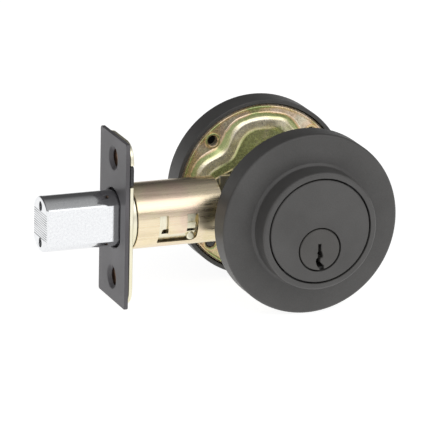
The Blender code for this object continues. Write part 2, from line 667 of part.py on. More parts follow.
WINDOW = {"x": (-47.5 * MM, -33.7 * MM), "z": (-7.7 * MM, 2.3 * MM)}
TONGUE = {"x": (-44.3 * MM, -37.7 * MM), "z": -4.5 * MM}
SLEEVE_R = TUBE_R - TUBE_WALL - GAP
SLEEVE_X = (-49.0 * MM, -34.4 * MM)
SLEEVE_Z = (-6.9 * MM, 4.6 * MM)
SLEEVE_FLAT = -7.1 * MM              # its inner side, clear of the bolt's flat side


def latch_tube(mats):
    """Tube from the backing plate to the case, with a window and a tongue left in the window."""
    inner = TUBE_R - TUBE_WALL
    profile = [(inner, TUBE_FRONT), (TUBE_R, TUBE_FRONT), (TUBE_R, TUBE_BACK), (inner, TUBE_BACK)]
    tube = lathe("latch_tube", profile, mats["zinc"], (0, 0), "X", 40)
    low_x, high_x = WINDOW["x"]
    low_z, high_z = WINDOW["z"]
    left, right = TONGUE["x"]
    tip = TONGUE["z"]
    outline = [(low_x, high_z), (low_x, low_z), (high_x, low_z), (high_x, high_z), (right, high_z), (right, tip),
               (left, tip), (left, high_z)]
    cut(tube, prism("tube_window", outline, -TUBE_R - MM, -4 * MM, None))
    resharpen(tube)


def latch_inner_sleeve(mats):
    """Curved strip inside the tube, behind its window: a notch, a step, a slot and a round boss."""
    low, high = SLEEVE_Z
    start = math.degrees(math.acos(high / SLEEVE_R))
    stop = math.degrees(math.acos(low / SLEEVE_R))
    outline = []
    for i in range(17):
        turn = math.radians(start + (stop - start) * i / 16)
        outline.append((-SLEEVE_R * math.sin(turn), SLEEVE_R * math.cos(turn)))
    outline += [(SLEEVE_FLAT, low), (SLEEVE_FLAT, high)]
    sleeve = prism("latch_inner_sleeve", outline, *SLEEVE_X, mats["cream"], "X")
    join(sleeve, rod("sleeve_boss", (-35.85 * MM, -5.8 * MM), 1.45 * MM, -9.0 * MM, SLEEVE_FLAT, None))
    deep = -12 * MM
    slot_end = SLEEVE_X[1] + MM
    cut(sleeve, prism("sleeve_notch", [(-46.2 * MM, -4.4 * MM), (-43.8 * MM, -4.4 * MM), (-43.8 * MM, -2.7 * MM),
                                       (-45.6 * MM, -2.7 * MM), (-46.2 * MM, -3.4 * MM)], deep, -6 * MM, None),
        box("sleeve_slot", (-37.6 * MM, deep, -4.15 * MM), (slot_end, -6 * MM, -3.1 * MM), None),
        box("sleeve_step", (-38.4 * MM, deep, -1.0 * MM), (slot_end, -9.35 * MM, 0.5 * MM), None))
    resharpen(sleeve)


CASE_WALL = 1.2 * MM
CASE_FRONT = BOLT_BACK + THROW + 0.4 * MM
CASE_END = 19.0 * MM
CASE_TOP = 12.8 * MM
CASE_BOTTOM = -13.4 * MM
FLOOR_T = 0.8 * MM
RIVETS = {"case_rivet_front": (-15.0 * MM, -11.2 * MM), "case_rivet_rear": (13.5 * MM, -10.2 * MM)}


def case_outline(slope):
    """Side plate: a tongue inside the tube, then the crank's case, whose front top corner slopes back."""
    tongue = 7.0 * MM
    step_x = TUBE_BACK + GAP
    corner = 3.0 * MM
    outline = [(CASE_FRONT, -tongue), (step_x, -tongue), (step_x, CASE_BOTTOM + 1.5 * MM)]
    outline += [(step_x + 1.5 * MM, CASE_BOTTOM)]
    outline += arc((CASE_END - corner, CASE_BOTTOM + corner), corner, 270, 360, 4)
    outline += arc((CASE_END - corner, CASE_TOP - corner), corner, 0, 90, 4)
    outline += [(step_x + slope, CASE_TOP), (step_x, CASE_TOP - min(slope, 5.6 * MM)), (step_x, tongue)]
    outline += [(CASE_FRONT, tongue)]
    return outline


def latch_case(mats):
    """Outer side plate with a bottom and a rear flange; the cover closes the room side."""
    bush = (0, AXIS_Z)
    case = prism("latch_case", case_outline(0.4 * MM), -CASE_HALF, -CASE_HALF + CASE_WALL, mats["cream"])
    inner = CASE_HALF - CASE_WALL - GAP
    join(case, box("case_floor", (-21.0 * MM, -CASE_HALF + 0.4 * MM, CASE_BOTTOM),
                   (CASE_END - 3.2 * MM, inner, CASE_BOTTOM + FLOOR_T),
                   None))
    join(case, box("case_rear", (CASE_END - 1.2 * MM, -CASE_HALF + 0.4 * MM, -8 * MM),
                   (CASE_END, inner, 8 * MM), None))
    cover = prism("latch_case_cover", case_outline(12.0 * MM), CASE_HALF - CASE_WALL, CASE_HALF,
                  mats["cream"])
    for piece in (case, cover):
        cut(piece, rod(f"hub_hole_{piece.name}", bush, 7.2 * MM, -9 * MM, 9 * MM, None, segments=24))
        for name, spot in RIVETS.items():
            cut(piece, rod(f"{name}_hole_{piece.name}", spot, 1.2 * MM + GAP, -9 * MM, 9 * MM, None,
                           segments=12))
        resharpen(piece)
    for name, spot in RIVETS.items():
        low = -CASE_HALF - GAP - 0.9 * MM
        profile = [(0, low), (2.0 * MM, low), (2.2 * MM, low + 0.9 * MM), (1.2 * MM, low + 0.9 * MM),
                   (1.2 * MM, -low - 0.9 * MM), (2.2 * MM, -low - 0.9 * MM), (2.0 * MM, -low), (0, -low)]
        lathe(name, profile, mats["steel"], spot, segments=12)
    for side, label in ((-1, "exterior"), (1, "interior")):
        near, far = side * (CASE_HALF - CASE_WALL - 0.2 * MM), side * CASE_HALF
        washer(f"hub_bush_{label}", bush, 5.3 * MM + GAP, 6.9 * MM, min(near, far), max(near, far),
               mats["nylon"])


def detent_spring(mats):
    """A bowed leaf along the case floor, under the crank's hub."""
    thick = 0.3 * MM
    top, ends = AXIS_Z - 5.3 * MM - GAP, CASE_BOTTOM + FLOOR_T + 0.1 * MM + thick
    upper = []
    for i in range(13):
        x = -9.0 * MM + i * 1.5 * MM
        upper.append((x, ends + (top - ends) * math.cos(math.pi * x / (18 * MM)) ** 2))
    outline = upper + [(x, z - thick) for x, z in reversed(upper)]
    prism("detent_spring", outline, -3.6 * MM, 3.6 * MM, mats["steel"])


# ---------------------------------------------------------------- bolt and its links

def bolt(mats):
    block = prism("bolt", bolt_outline(), BOLT_TIP, BOLT_BACK, mats["chrome"], "X")
    bevel = block.modifiers.new("rim", "BEVEL")
    bevel.width = 0.7 * MM
    bevel.segments = 2
    bevel.limit_method = "ANGLE"
    bevel.angle_limit = math.radians(60)
    for side, label in ((1, "upper"), (-1, "lower")):
        z = side * 6.3 * MM
        cut(block, rod(f"bolt_drill_{label}", (0, z), 1.6 * MM, BOLT_TIP - MM, BOLT_TIP + 23.0 * MM, None,
                       "X", 16))
        rod(f"bolt_pin_{label}", (0, z), 1.3 * MM, BOLT_TIP + 1.0 * MM, BOLT_TIP + 22.0 * MM,
            mats["dark_steel"], "X", 16)
    cut(block, box("bolt_rear_slot", (BOLT_BACK - 6.0 * MM, -BOLT_W, -4.2 * MM),
                   (BOLT_BACK + MM, BOLT_W, 4.2 * MM), None))
    join(block, box("bolt_tongue", (BOLT_BACK - 6.5 * MM, -2.6 * MM, -4.6 * MM),
                    (BOLT_BACK, 2.6 * MM, 4.6 * MM), None))
    cut(block, rod("bolt_cross_hole", (BOLT_BACK - 2.8 * MM, 0), 1.3 * MM + GAP, -BOLT_W, BOLT_W, None,
                   segments=14))
    resharpen(block)
    rod("carriage_pin", (BOLT_BACK - 2.8 * MM, 0), 1.3 * MM, -5.6 * MM, 5.6 * MM, mats["steel"], segments=14)


RIVET_X = -35.4 * MM
RIVET_Z = -6.6 * MM


def bolt_carriage(mats):
    """Two side plates on a bottom web: they grip the bolt's tongue and carry the rivet of the yoke."""
    front = BOLT_BACK - 5.4 * MM
    head_end, notch = -41.6 * MM, -44.0 * MM
    bottom, rail_top, head_low, head_top = -8.8 * MM, -5.9 * MM, -4.5 * MM, 3.9 * MM
    boss_r = 2.6 * MM
    neck = BOLT_BACK + 2 * GAP
    outline = [(front, -3.8 * MM), (neck, -3.8 * MM), (neck + 1.5 * MM, bottom), (RIVET_X, bottom)]
    outline += arc((RIVET_X, bottom + boss_r), boss_r, 270, 450, 8)[1:]
    outline += [(RIVET_X - 3.0 * MM, rail_top), (notch, rail_top), (notch + 0.5 * MM, head_low)]
    outline += [(head_end, head_low), (head_end, head_top), (front, head_top)]
    plate = prism("bolt_carriage", outline, -4.5 * MM, -3.1 * MM, mats["grey"])
    join(plate, prism("carriage_far", outline, 3.1 * MM, 4.5 * MM, None))
    join(plate, box("carriage_web", (-49.4 * MM, -3.6 * MM, bottom),
                    (-41.0 * MM, 3.6 * MM, bottom + 1.4 * MM), None))
    cut(plate, rod("carriage_front_hole", (BOLT_BACK - 2.8 * MM, 0), 1.3 * MM + GAP, -8 * MM, 8 * MM, None,
                   segments=14))
    cut(plate, rod("carriage_rivet_hole", (RIVET_X, RIVET_Z + 0.4 * MM), 1.2 * MM + GAP, -8 * MM, 8 * MM,
                   None, segments=12))
    resharpen(plate)
    low, collar_low, collar_high = -4.4 * MM, -2.8 * MM, -1.8 * MM
    profile = [(0, low), (1.2 * MM, low), (1.2 * MM, collar_low), (2.1 * MM, collar_low),
               (2.1 * MM, collar_high),
               (1.2 * MM, collar_high), (1.2 * MM, -collar_high), (2.1 * MM, -collar_high),
               (2.1 * MM, -collar_low),
               (1.2 * MM, -collar_low), (1.2 * MM, -low), (0, -low)]
    lathe("link_rivet", profile, mats["steel"], (RIVET_X, RIVET_Z + 0.4 * MM), segments=12)


def link_yoke(mats):
    """Flat link from the rivet, up over the crank's hub, to the slot that the crank pin works in."""
    slot = CRANK_PIN_R + 0.85 * MM
    arm = 2.0 * MM
    low = -0.6 * MM
    outline = arc((RIVET_X, RIVET_Z + 0.4 * MM), 2.6 * MM, 150, 300, 8)
    outline += [(-31.6 * MM, low - 2.0 * MM), (-30.4 * MM, low), (YOKE_X + slot + arm, low)]
    outline += [(YOKE_X + slot + arm, 12.6 * MM), (YOKE_X + slot + arm - MM, 13.4 * MM),
                (YOKE_X + slot, 13.4 * MM)]
    outline += arc((YOKE_X, 6.2 * MM), slot, 360, 180, 10)
    outline += [(YOKE_X - slot, 13.4 * MM), (YOKE_X - slot - arm + MM, 13.4 * MM),
                (YOKE_X - slot - arm, 12.6 * MM)]
    outline += [(YOKE_X - slot - arm, 7.0 * MM), (YOKE_X - slot - arm - 3.0 * MM, 4.6 * MM),
                (-33.0 * MM, 4.6 * MM)]
    outline += [(-36.0 * MM, 1.0 * MM)]
    yoke = prism("link_yoke", outline, -1.5 * MM, 1.5 * MM, mats["steel"])
    cut(yoke, rod("yoke_rivet_hole", (RIVET_X, RIVET_Z + 0.4 * MM), 1.2 * MM + GAP, -8 * MM, 8 * MM, None,
                  segments=12))
    resharpen(yoke)


# ---------------------------------------------------------------- room side, fixed pieces

HOLE_R = 25.4 * MM                  # mounting plate: pitch radius of the four small holes
PLATE_LOW = INNER + 0.15 * MM
PLATE_THICK = 1.2 * MM
PAD_TOP = PLATE_LOW + PLATE_THICK + 0.4 * MM


def lobed_radius(turn, outer, notch):
    """Radius of a disc of the outer radius, hollowed round each of the four diagonal holes."""
    nearest = (turn - math.pi / 4) % (math.pi / 2)
    away = min(nearest, math.pi / 2 - nearest)
    inside = notch * notch - (HOLE_R * math.sin(away)) ** 2
    if inside <= 0:
        return outer
    return min(outer, HOLE_R * math.cos(away) - math.sqrt(inside))


def mounting_plate(mats):
    """Plate in the back of the inner rose: flat rim, lobed platform into the bore, and a dished middle."""
    segments = 48
    rise, dish = 2.2 * MM, 1.6 * MM
    rings = [(lambda t: 29.2 * MM, 0.0), (lambda t: lobed_radius(t, 26.2 * MM, 4.6 * MM), 0.0),
             (lambda t: lobed_radius(t, 24.6 * MM, 6.3 * MM), -rise),
             (lambda t: lobed_radius(t, 20.0 * MM, 10.2 * MM), -rise),
             (lambda t: lobed_radius(t, 18.8 * MM, 11.6 * MM), -rise + dish),
             (lambda t: 9.6 * MM, -rise + dish)]
    bm = bmesh.new()
    loops = []
    for side in (0, 1):
        order = rings if side == 0 else rings[::-1]
        for radius, lift in order:
            loop = []
            for step in range(segments):
                turn = 2 * math.pi * step / segments
                r = radius(turn)
                loop.append(bm.verts.new((r * math.cos(turn), PLATE_LOW + lift + side * PLATE_THICK,
                                          r * math.sin(turn))))
            loops.append(loop)
    for first, second in zip(loops, loops[1:] + loops[:1]):
        for step in range(segments):
            after = (step + 1) % segments
            bm.faces.new((first[step], first[after], second[after], second[step]))
    plate = finish("mounting_plate", bm, mats["iridescent"])
    for i in range(4):
        turn = math.radians(45 + 90 * i)
        spot = (HOLE_R * math.cos(turn), HOLE_R * math.sin(turn))
        join(plate, rod(f"plate_collar_{i}", spot, 3.1 * MM, PLATE_LOW + 0.4 * MM,
                        PLATE_LOW + PLATE_THICK + 1.6 * MM,
                        None, segments=16))
        cut(plate, rod(f"plate_hole_{i}", spot, 2.15 * MM, PLATE_LOW - 4 * MM, PLATE_LOW + 6 * MM, None,
                       segments=16))
    for side in (-1, 1):
        join(plate, rod(f"plate_pad_{side}", (side * MOUNT_SCREW_X, side * MOUNT_SCREW_Z), 5.0 * MM,
                        PLATE_LOW - 0.2 * MM, PAD_TOP, None, segments=20))
        cut(plate, rod(f"plate_screw_hole_{side}", (side * MOUNT_SCREW_X, side * MOUNT_SCREW_Z),
                       2.2 * MM + GAP, PLATE_LOW - 4 * MM,
                       PLATE_LOW + 6 * MM, None, segments=16))
    cut(plate, rod("plate_axis_hole", (0, AXIS_Z), 8.4 * MM, PLATE_LOW - 4 * MM, PLATE_LOW + 6 * MM, None,
                   segments=32))
    resharpen(plate)


def interior_rose(mats):
    """Room-side rose: as the outer one, with a lower closed boss bored for the thumbturn's spindle."""
    profile = rose_profile(INNER, 1, BOSS_IN_RISE, 5.0 * MM)
    shell = lathe("interior_rose", profile, mats["black"], segments=40)
    fill_low, fill_high = BOSS_IN_FRONT - 1.4 * MM, BOSS_IN_FRONT
    join(shell, rod("rose_cap", (0, 0), 6.5 * MM, fill_low, fill_high, None, segments=24))
    cut(shell, rod("rose_spindle_hole", (0, AXIS_Z), SPINDLE_R + GAP, 0, 60 * MM, None, segments=28))
    for side, label in ((-1, "left"), (1, "right")):
        spot = (side * HOLE_R * math.sqrt(0.5), -HOLE_R * math.sqrt(0.5))
        cut(shell, rod(f"rose_hole_{label}", spot, 1.9 * MM, 0, 60 * MM, None, segments=16))
    resharpen(shell)


def interior_screws(mats):
    """Two through screws into the posts, and two small screws from the inner rose to the mounting plate."""
    seat = PAD_TOP + GAP
    for side, label in ((1, "upper"), (-1, "lower")):
        rod(f"mounting_screw_{label}", (side * MOUNT_SCREW_X, side * MOUNT_SCREW_Z), 2.1 * MM, -13.6 * MM,
            seat, mats["steel"],
            segments=16, head=(4.2 * MM, 2.6 * MM))
    for side, label in ((-1, "left"), (1, "right")):
        spot = (side * HOLE_R * math.sqrt(0.5), -HOLE_R * math.sqrt(0.5))
        rod(f"rose_screw_{label}", spot, 1.5 * MM, INNER + 0.4 * MM, ROSE_IN_FRONT + 0.6 * MM, mats["black"],
            segments=14, head=(2.9 * MM, 1.6 * MM))


def main():
    clear_scene()
    mats = make_materials()
    for make in (exterior_gasket, exterior_rose, guard_ring, cylinder_body, pin_stacks, cylinder_plate,
                 mount_posts,
                 plug, key_pins, plug_clip, tailpiece_cap, tailpiece, crank, turn_spindle, wave_washer,
                 thumbturn,
                 faceplate, backing_plate, bolt_guide, latch_tube, latch_inner_sleeve, latch_case,
                 detent_spring, bolt,
                 bolt_carriage,
                 link_yoke, mounting_plate, interior_rose, interior_screws):
        make(mats)


main()
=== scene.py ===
import json
import math

import bmesh
import bpy
from mathutils import Matrix, Vector


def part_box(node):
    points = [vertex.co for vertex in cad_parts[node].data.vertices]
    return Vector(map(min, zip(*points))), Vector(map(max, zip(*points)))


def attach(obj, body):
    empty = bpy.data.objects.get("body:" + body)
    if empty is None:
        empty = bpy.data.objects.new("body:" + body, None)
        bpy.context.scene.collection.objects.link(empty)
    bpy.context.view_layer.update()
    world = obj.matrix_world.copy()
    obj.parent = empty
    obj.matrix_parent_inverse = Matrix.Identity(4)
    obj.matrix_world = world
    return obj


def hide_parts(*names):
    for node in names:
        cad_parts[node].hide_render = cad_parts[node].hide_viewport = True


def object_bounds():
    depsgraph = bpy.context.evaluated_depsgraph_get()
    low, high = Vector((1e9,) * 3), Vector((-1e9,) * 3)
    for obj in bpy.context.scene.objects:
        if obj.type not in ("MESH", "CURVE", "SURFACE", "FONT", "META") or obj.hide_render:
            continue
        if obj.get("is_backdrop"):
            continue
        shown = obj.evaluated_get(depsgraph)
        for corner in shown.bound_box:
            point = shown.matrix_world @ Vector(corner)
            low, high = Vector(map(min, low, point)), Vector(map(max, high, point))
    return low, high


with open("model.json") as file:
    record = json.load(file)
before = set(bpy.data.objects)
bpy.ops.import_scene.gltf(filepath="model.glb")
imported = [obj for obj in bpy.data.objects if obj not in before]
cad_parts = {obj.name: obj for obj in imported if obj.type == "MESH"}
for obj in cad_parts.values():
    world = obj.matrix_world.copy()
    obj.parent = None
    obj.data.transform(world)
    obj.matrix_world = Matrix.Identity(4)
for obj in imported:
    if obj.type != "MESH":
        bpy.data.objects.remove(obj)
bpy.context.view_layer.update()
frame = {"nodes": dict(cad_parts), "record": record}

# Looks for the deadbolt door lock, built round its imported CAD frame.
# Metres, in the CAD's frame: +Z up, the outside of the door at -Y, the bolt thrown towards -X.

MM = 0.001

SHARP = 32                           # edges that turn by more degrees than this stay crisp
ROUND = 144                          # segments round the large turned pieces

# Places taken from the frame
ROSE_LOW, ROSE_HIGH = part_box("exterior_rose")
ROSE_IN_LOW, ROSE_IN_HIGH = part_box("interior_rose")
BODY_LOW, BODY_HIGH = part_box("cylinder_body")
PLUG_LOW, PLUG_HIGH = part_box("plug")
PLATE_LOW, PLATE_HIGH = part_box("faceplate")
BACK_LOW, BACK_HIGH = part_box("backing_plate")
GUIDE_LOW, GUIDE_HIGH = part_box("bolt_guide")
CARRIAGE_LOW, CARRIAGE_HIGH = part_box("bolt_carriage")
TUBE_LOW, TUBE_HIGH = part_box("latch_tube")
BOLT_LOW, BOLT_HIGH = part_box("bolt")
TURN_LOW, TURN_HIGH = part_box("thumbturn")

ROSE_R = ROSE_HIGH.x
BOSS_FRONT = ROSE_LOW.y
ROSE_RIM = ROSE_HIGH.y
MOUNT_RIM = ROSE_IN_LOW.y + 0.15 * MM
AXIS_Z = (PLUG_LOW.z + PLUG_HIGH.z) / 2
CROSS_X = BOLT_HIGH.x - 2.8 * MM     # pin that joins the bolt to its carriage

# Sizes of details that the boxes don't give
ROSE_WALL = 1.4 * MM
BOSS_RISE = 8.4 * MM
BOSS_IN_RISE = 4.2 * MM
BOSS_R = 20.3 * MM
FACE_BORE = 18.1 * MM
SPINDLE_R = 6.6 * MM
HOLE_PITCH = 25.4 * MM               # pitch radius of the mounting plate's small holes
HOLE_XZ = HOLE_PITCH * math.sqrt(0.5)
PLUG_R = 6.35 * MM
GAP = 0.3 * MM
PINS = 5
PIN_PITCH = 3.81 * MM
FIRST_PIN_Y = BOSS_FRONT + 5.4 * MM
CHAMBER_R = 1.75 * MM
LUG_X = 13 * MM                      # the cylinder's screw lugs, either side of its axis
SCREW_Z = 20.64 * MM                 # faceplate screws, above and below the bolt
CROSS_R = 1.6 * MM
SLOT_OF = {part["node"]: part["material_slot"] for part in frame["record"]["subparts"]}
BODY_OF = {node: body for body, nodes in frame["record"]["behaviour"]["bodies"].items() for node in nodes}


# ---------------------------------------------------------------- materials

ALONG_X, ALONG_Z = (0.05, 1, 1), (1, 1, 0.08)     # scales that draw a texture out along one axis
PALE_ZINC = [(0.35, (0.84, 0.80, 0.60)), (0.65, (0.90, 0.86, 0.70))]
YELLOW_ZINC = [(0.32, (0.80, 0.70, 0.43)), (0.5, (0.88, 0.76, 0.55)), (0.68, (0.86, 0.67, 0.54))]
GREY_ZINC = [(0.35, (0.52, 0.54, 0.48)), (0.65, (0.66, 0.67, 0.60))]
WHITE_ZINC = [(0.3, (0.92, 0.88, 0.80)), (0.7, (1.0, 0.97, 0.92))]
# Passivate film on the stamping, from its crest towards the door to just behind its rim
FILM = [(0.05, (0.97, 0.93, 0.80)), (0.20, (0.94, 0.89, 0.66)), (0.34, (0.60, 0.66, 0.34)),
        (0.62, (0.46, 0.56, 0.26)), (0.74, (0.88, 0.70, 0.44)), (0.84, (0.96, 0.78, 0.62)),
        (0.95, (0.96, 0.90, 0.74))]
BROWNED = (0.42, 0.27, 0.19)


def nodes_of(name, base, roughness, metallic):
    """A new material with its tree, its shader and a texture coordinate in object space."""
    mat = bpy.data.materials.new(name)
    mat.use_nodes = True
    tree = mat.node_tree
    shader = tree.nodes["Principled BSDF"]
    shader.inputs["Base Color"].default_value = (*base, 1)
    shader.inputs["Roughness"].default_value = roughness
    shader.inputs["Metallic"].default_value = metallic
    where = tree.nodes.new("ShaderNodeTexCoord").outputs["Object"]
    return mat, tree, shader, where


def feed(tree, socket, value):
    """Links the socket to another one, or sets its number or colour."""
    if isinstance(value, bpy.types.NodeSocket):
        tree.links.new(value, socket)
    elif isinstance(value, tuple):
        socket.default_value = (*value, 1)
    else:
        socket.default_value = value


def maths(tree, operation, *values):
    """One Math node; each value is a socket or a number."""
    node = tree.nodes.new("ShaderNodeMath")
    node.operation = operation
    for socket, value in zip(node.inputs, values):
        feed(tree, socket, value)
    return node.outputs["Value"]


def parted(tree, where):
    """The X, Y and Z outputs of a coordinate."""
    node = tree.nodes.new("ShaderNodeSeparateXYZ")
    tree.links.new(where, node.inputs["Vector"])
    return node.outputs


def stretched(tree, where, scale):
    """The coordinate scaled unevenly, to draw a texture out along one axis."""
    mapping = tree.nodes.new("ShaderNodeMapping")
    mapping.inputs["Scale"].default_value = scale
    tree.links.new(where, mapping.inputs["Vector"])
    return mapping.outputs["Vector"]


def noise(tree, where, scale, detail=4.0, rough=0.55, warp=0.0):
    """Noise over the coordinate, as a number."""
    node = tree.nodes.new("ShaderNodeTexNoise")
    node.inputs["Scale"].default_value = scale
    node.inputs["Detail"].default_value = detail
    node.inputs["Roughness"].default_value = rough
    node.inputs["Distortion"].default_value = warp
    tree.links.new(where, node.inputs["Vector"])
    return node.outputs["Fac"]


def ramp(tree, value, stops, smooth=False):
    """A colour ramp; each stop is (place, colour)."""
    node = tree.nodes.new("ShaderNodeValToRGB")
    element = node.color_ramp.elements
    while len(element) < len(stops):
        element.new(0.5)
    for item, (place, colour) in zip(element, stops):
        item.position = place
        item.color = (*colour, 1)
    if smooth:
        node.color_ramp.interpolation = "EASE"
    tree.links.new(value, node.inputs["Fac"])
    return node.outputs["Color"]


def spread(tree, value, low, high, source=(0.3, 0.7)):
    """Maps a value's usual range to low..high."""
    node = tree.nodes.new("ShaderNodeMapRange")
    node.inputs["From Min"].default_value, node.inputs["From Max"].default_value = source
    node.inputs["To Min"].default_value = low
    node.inputs["To Max"].default_value = high
    tree.links.new(value, node.inputs["Value"])
    return node.outputs["Result"]


def mixed(tree, factor, first, second, blend="MIX"):
    """Two colours mixed; the factor and each colour may be a socket or a value."""
    node = tree.nodes.new("ShaderNodeMix")
    node.data_type = "RGBA"
    node.blend_type = blend
    # A Mix node's colour sockets: 0 the factor, 6 and 7 the colours in, 2 the colour out
    for socket, value in ((node.inputs[0], factor), (node.inputs[6], first), (node.inputs[7], second)):
        feed(tree, socket, value)
    return node.outputs[2]


def bumped(tree, shader, height, strength, distance):
    """Fine relief on the shader's normal."""
    node = tree.nodes.new("ShaderNodeBump")
    node.inputs["Strength"].default_value = strength
    node.inputs["Distance"].default_value = distance
    tree.links.new(height, node.inputs["Height"])
    tree.links.new(node.outputs["Normal"], shader.inputs["Normal"])


def charcoal(name, base, light, roughness=0.46):
    """Dark satin coating over zinc: fine orange-peel grain and faint cloudy shade."""
    mat, tree, shader, where = nodes_of(name, base, roughness, 0.0)
    shader.inputs["Specular IOR Level"].default_value = 0.45
    cloud = noise(tree, where, 70.0, 3.0, 0.5)
    grain = noise(tree, where, 2600.0, 2.0, 0.6)
    tone = ramp(tree, cloud, [(0.35, base), (0.68, light)])
    speck = ramp(tree, grain, [(0.3, (0.86, 0.86, 0.86)), (0.72, (1.1, 1.1, 1.1))])
    tree.links.new(mixed(tree, 1.0, tone, speck, "MULTIPLY"), shader.inputs["Base Color"])
    tree.links.new(spread(tree, grain, roughness - 0.05, roughness + 0.07), shader.inputs["Roughness"])
    bumped(tree, shader, grain, 0.22, 0.00006)
    return mat


def plated(name, stops, roughness, cloud_scale, drawn, grain_bump=0.12):
    """Bright zinc plate: clouds of passivate colour, and drawing lines along the strip."""
    mat, tree, shader, where = nodes_of(name, stops[0][1], roughness, 1.0)
    cloud = noise(tree, where, cloud_scale, 3.0, 0.55, 0.6)
    lines = noise(tree, stretched(tree, where, drawn), 900.0, 4.0, 0.6)
    tint = ramp(tree, cloud, stops, smooth=True)
    rub = ramp(tree, lines, [(0.25, (0.84, 0.82, 0.79)), (0.6, (1.0, 1.0, 1.0))])
    tree.links.new(mixed(tree, 1.0, tint, rub, "MULTIPLY"), shader.inputs["Base Color"])
    tree.links.new(spread(tree, lines, roughness - 0.05, roughness + 0.1), shader.inputs["Roughness"])
    bumped(tree, shader, lines, grain_bump, 0.00004)
    return mat


def plain_metal(name, dark, light, roughness, drawn=(1, 1, 1), metallic=1.0):
    """Machined metal, plastic or rubber: two close shades and fine marks."""
    mat, tree, shader, where = nodes_of(name, light, roughness, metallic)
    marks = noise(tree, stretched(tree, where, drawn), 1500.0, 4.0, 0.6)
    tree.links.new(ramp(tree, marks, [(0.3, dark), (0.66, light)]), shader.inputs["Base Color"])
    tree.links.new(spread(tree, marks, roughness + 0.08, roughness - 0.04), shader.inputs["Roughness"])
    bumped(tree, shader, marks, 0.12, 0.00003)
    return mat


def coppered(name):
    """Pale zinc plate whose passivate has browned in the screw dimples."""
    mat = plated(name, PALE_ZINC, 0.32, 80.0, ALONG_Z)
    tree = mat.node_tree
    shader = tree.nodes["Principled BSDF"]
    place_on = parted(tree, tree.nodes["Texture Coordinate"].outputs["Object"])
    height = maths(tree, "ABSOLUTE", place_on["Z"])
    level_with_screw = maths(tree, "COMPARE", height, SCREW_Z, 4.2 * MM)
    near_middle = maths(tree, "COMPARE", place_on["Y"], 0.0, 5.0 * MM)
    in_dimple = maths(tree, "MULTIPLY", level_with_screw, near_middle)
    pale = shader.inputs["Base Color"].links[0].from_socket
    tree.links.new(mixed(tree, in_dimple, pale, BROWNED), shader.inputs["Base Color"])
    return mat


def stamped(name):
    """Iridescent zinc coloured by the stamping's depth, with a drift that makes the bands wander."""
    mat = plated(name, WHITE_ZINC, 0.24, 110.0, (1, 1, 1), 0.05)
    tree = mat.node_tree
    shader = tree.nodes["Principled BSDF"]
    shader.inputs["Metallic"].default_value = 0.7
    where = tree.nodes["Texture Coordinate"].outputs["Object"]
    drift = spread(tree, noise(tree, where, 150.0, 2.0, 0.5, 0.4), -0.45 * MM, 0.45 * MM)
    depth = maths(tree, "ADD", parted(tree, where)["Y"], drift)
    level = spread(tree, depth, 0.0, 1.0, (MOUNT_RIM - 2 * MM, MOUNT_RIM + MM))
    film = ramp(tree, level, FILM, smooth=True)
    rubbed = shader.inputs["Base Color"].links[0].from_socket
    tree.links.new(mixed(tree, 1.0, film, rubbed, "MULTIPLY"), shader.inputs["Base Color"])
    return mat


MATS = {
    "black": charcoal("satin_charcoal", (0.060, 0.058, 0.056), (0.075, 0.073, 0.071)),
    "plug": charcoal("plug_charcoal", (0.062, 0.059, 0.055), (0.081, 0.077, 0.073), 0.40),
    "plate": charcoal("edge_plate_charcoal", (0.078, 0.074, 0.079), (0.106, 0.101, 0.108), 0.42),
    "chrome": plain_metal("polished_chrome", (0.74, 0.75, 0.77), (0.84, 0.85, 0.86), 0.09),
    "zinc": plated("satin_yellow_zinc", YELLOW_ZINC, 0.27, 60.0, ALONG_X, 0.05),
    "cream": plated("pale_zinc", PALE_ZINC, 0.30, 80.0, ALONG_Z),
    "copper_cream": coppered("pale_copper_zinc"),
    "iridescent": stamped("iridescent_zinc"),
    "grey": plated("grey_green_zinc", GREY_ZINC, 0.36, 120.0, ALONG_X),
    "steel": plain_metal("bright_steel", (0.46, 0.46, 0.47), (0.62, 0.62, 0.62), 0.28),
    "dark_steel": plain_metal("hardened_steel", (0.02, 0.02, 0.022), (0.04, 0.04, 0.043), 0.35, metallic=0.9),
    "brass": plain_metal("turned_brass", (0.62, 0.45, 0.20), (0.78, 0.60, 0.30), 0.24),
    "rubber": plain_metal("gasket_rubber", (0.012, 0.012, 0.012), (0.026, 0.026, 0.026), 0.78, metallic=0.0),
    "nylon": plain_metal("black_nylon", (0.018, 0.018, 0.02), (0.035, 0.035, 0.037), 0.5, metallic=0.0),
}


# ---------------------------------------------------------------- mesh helpers

def rounded(corners, steps=5):
    """Points of a closed outline of (a, b, radius) corners, each corner rounded by its radius."""
    points = []
    count = len(corners)
    for i, (a, b, radius) in enumerate(corners):
        here = Vector((a, b))
        if radius <= 0:
            points.append(here)
            continue
        back = Vector(corners[i - 1][:2]) - here
        ahead = Vector(corners[(i + 1) % count][:2]) - here
        u, v = back.normalized(), ahead.normalized()
        half = math.acos(max(-1.0, min(1.0, u.dot(v)))) / 2
        reach = min(radius / math.tan(half), back.length * 0.48, ahead.length * 0.48)
        radius = reach * math.tan(half)
        centre = here + (u + v).normalized() * radius / math.sin(half)
        first, last = here + u * reach, here + v * reach
        points.append(first + u * reach * 0.04)
        turn = (first - centre).angle_signed(last - centre)
        for step in range(steps + 1):
            arm = (first - centre).copy()
            arm.rotate(Matrix.Rotation(-turn * step / steps, 2))
            points.append(centre + arm)
        points.append(last + v * reach * 0.04)
    return [(p.x, p.y) for p in points]


def arc(centre, radius, start, end, steps):
    """Points round a centre, between two angles in degrees."""
    points = []
    for i in range(steps + 1):
        turn = math.radians(start + (end - start) * i / steps)
        points.append((centre[0] + radius * math.cos(turn), centre[1] + radius * math.sin(turn)))
    return points


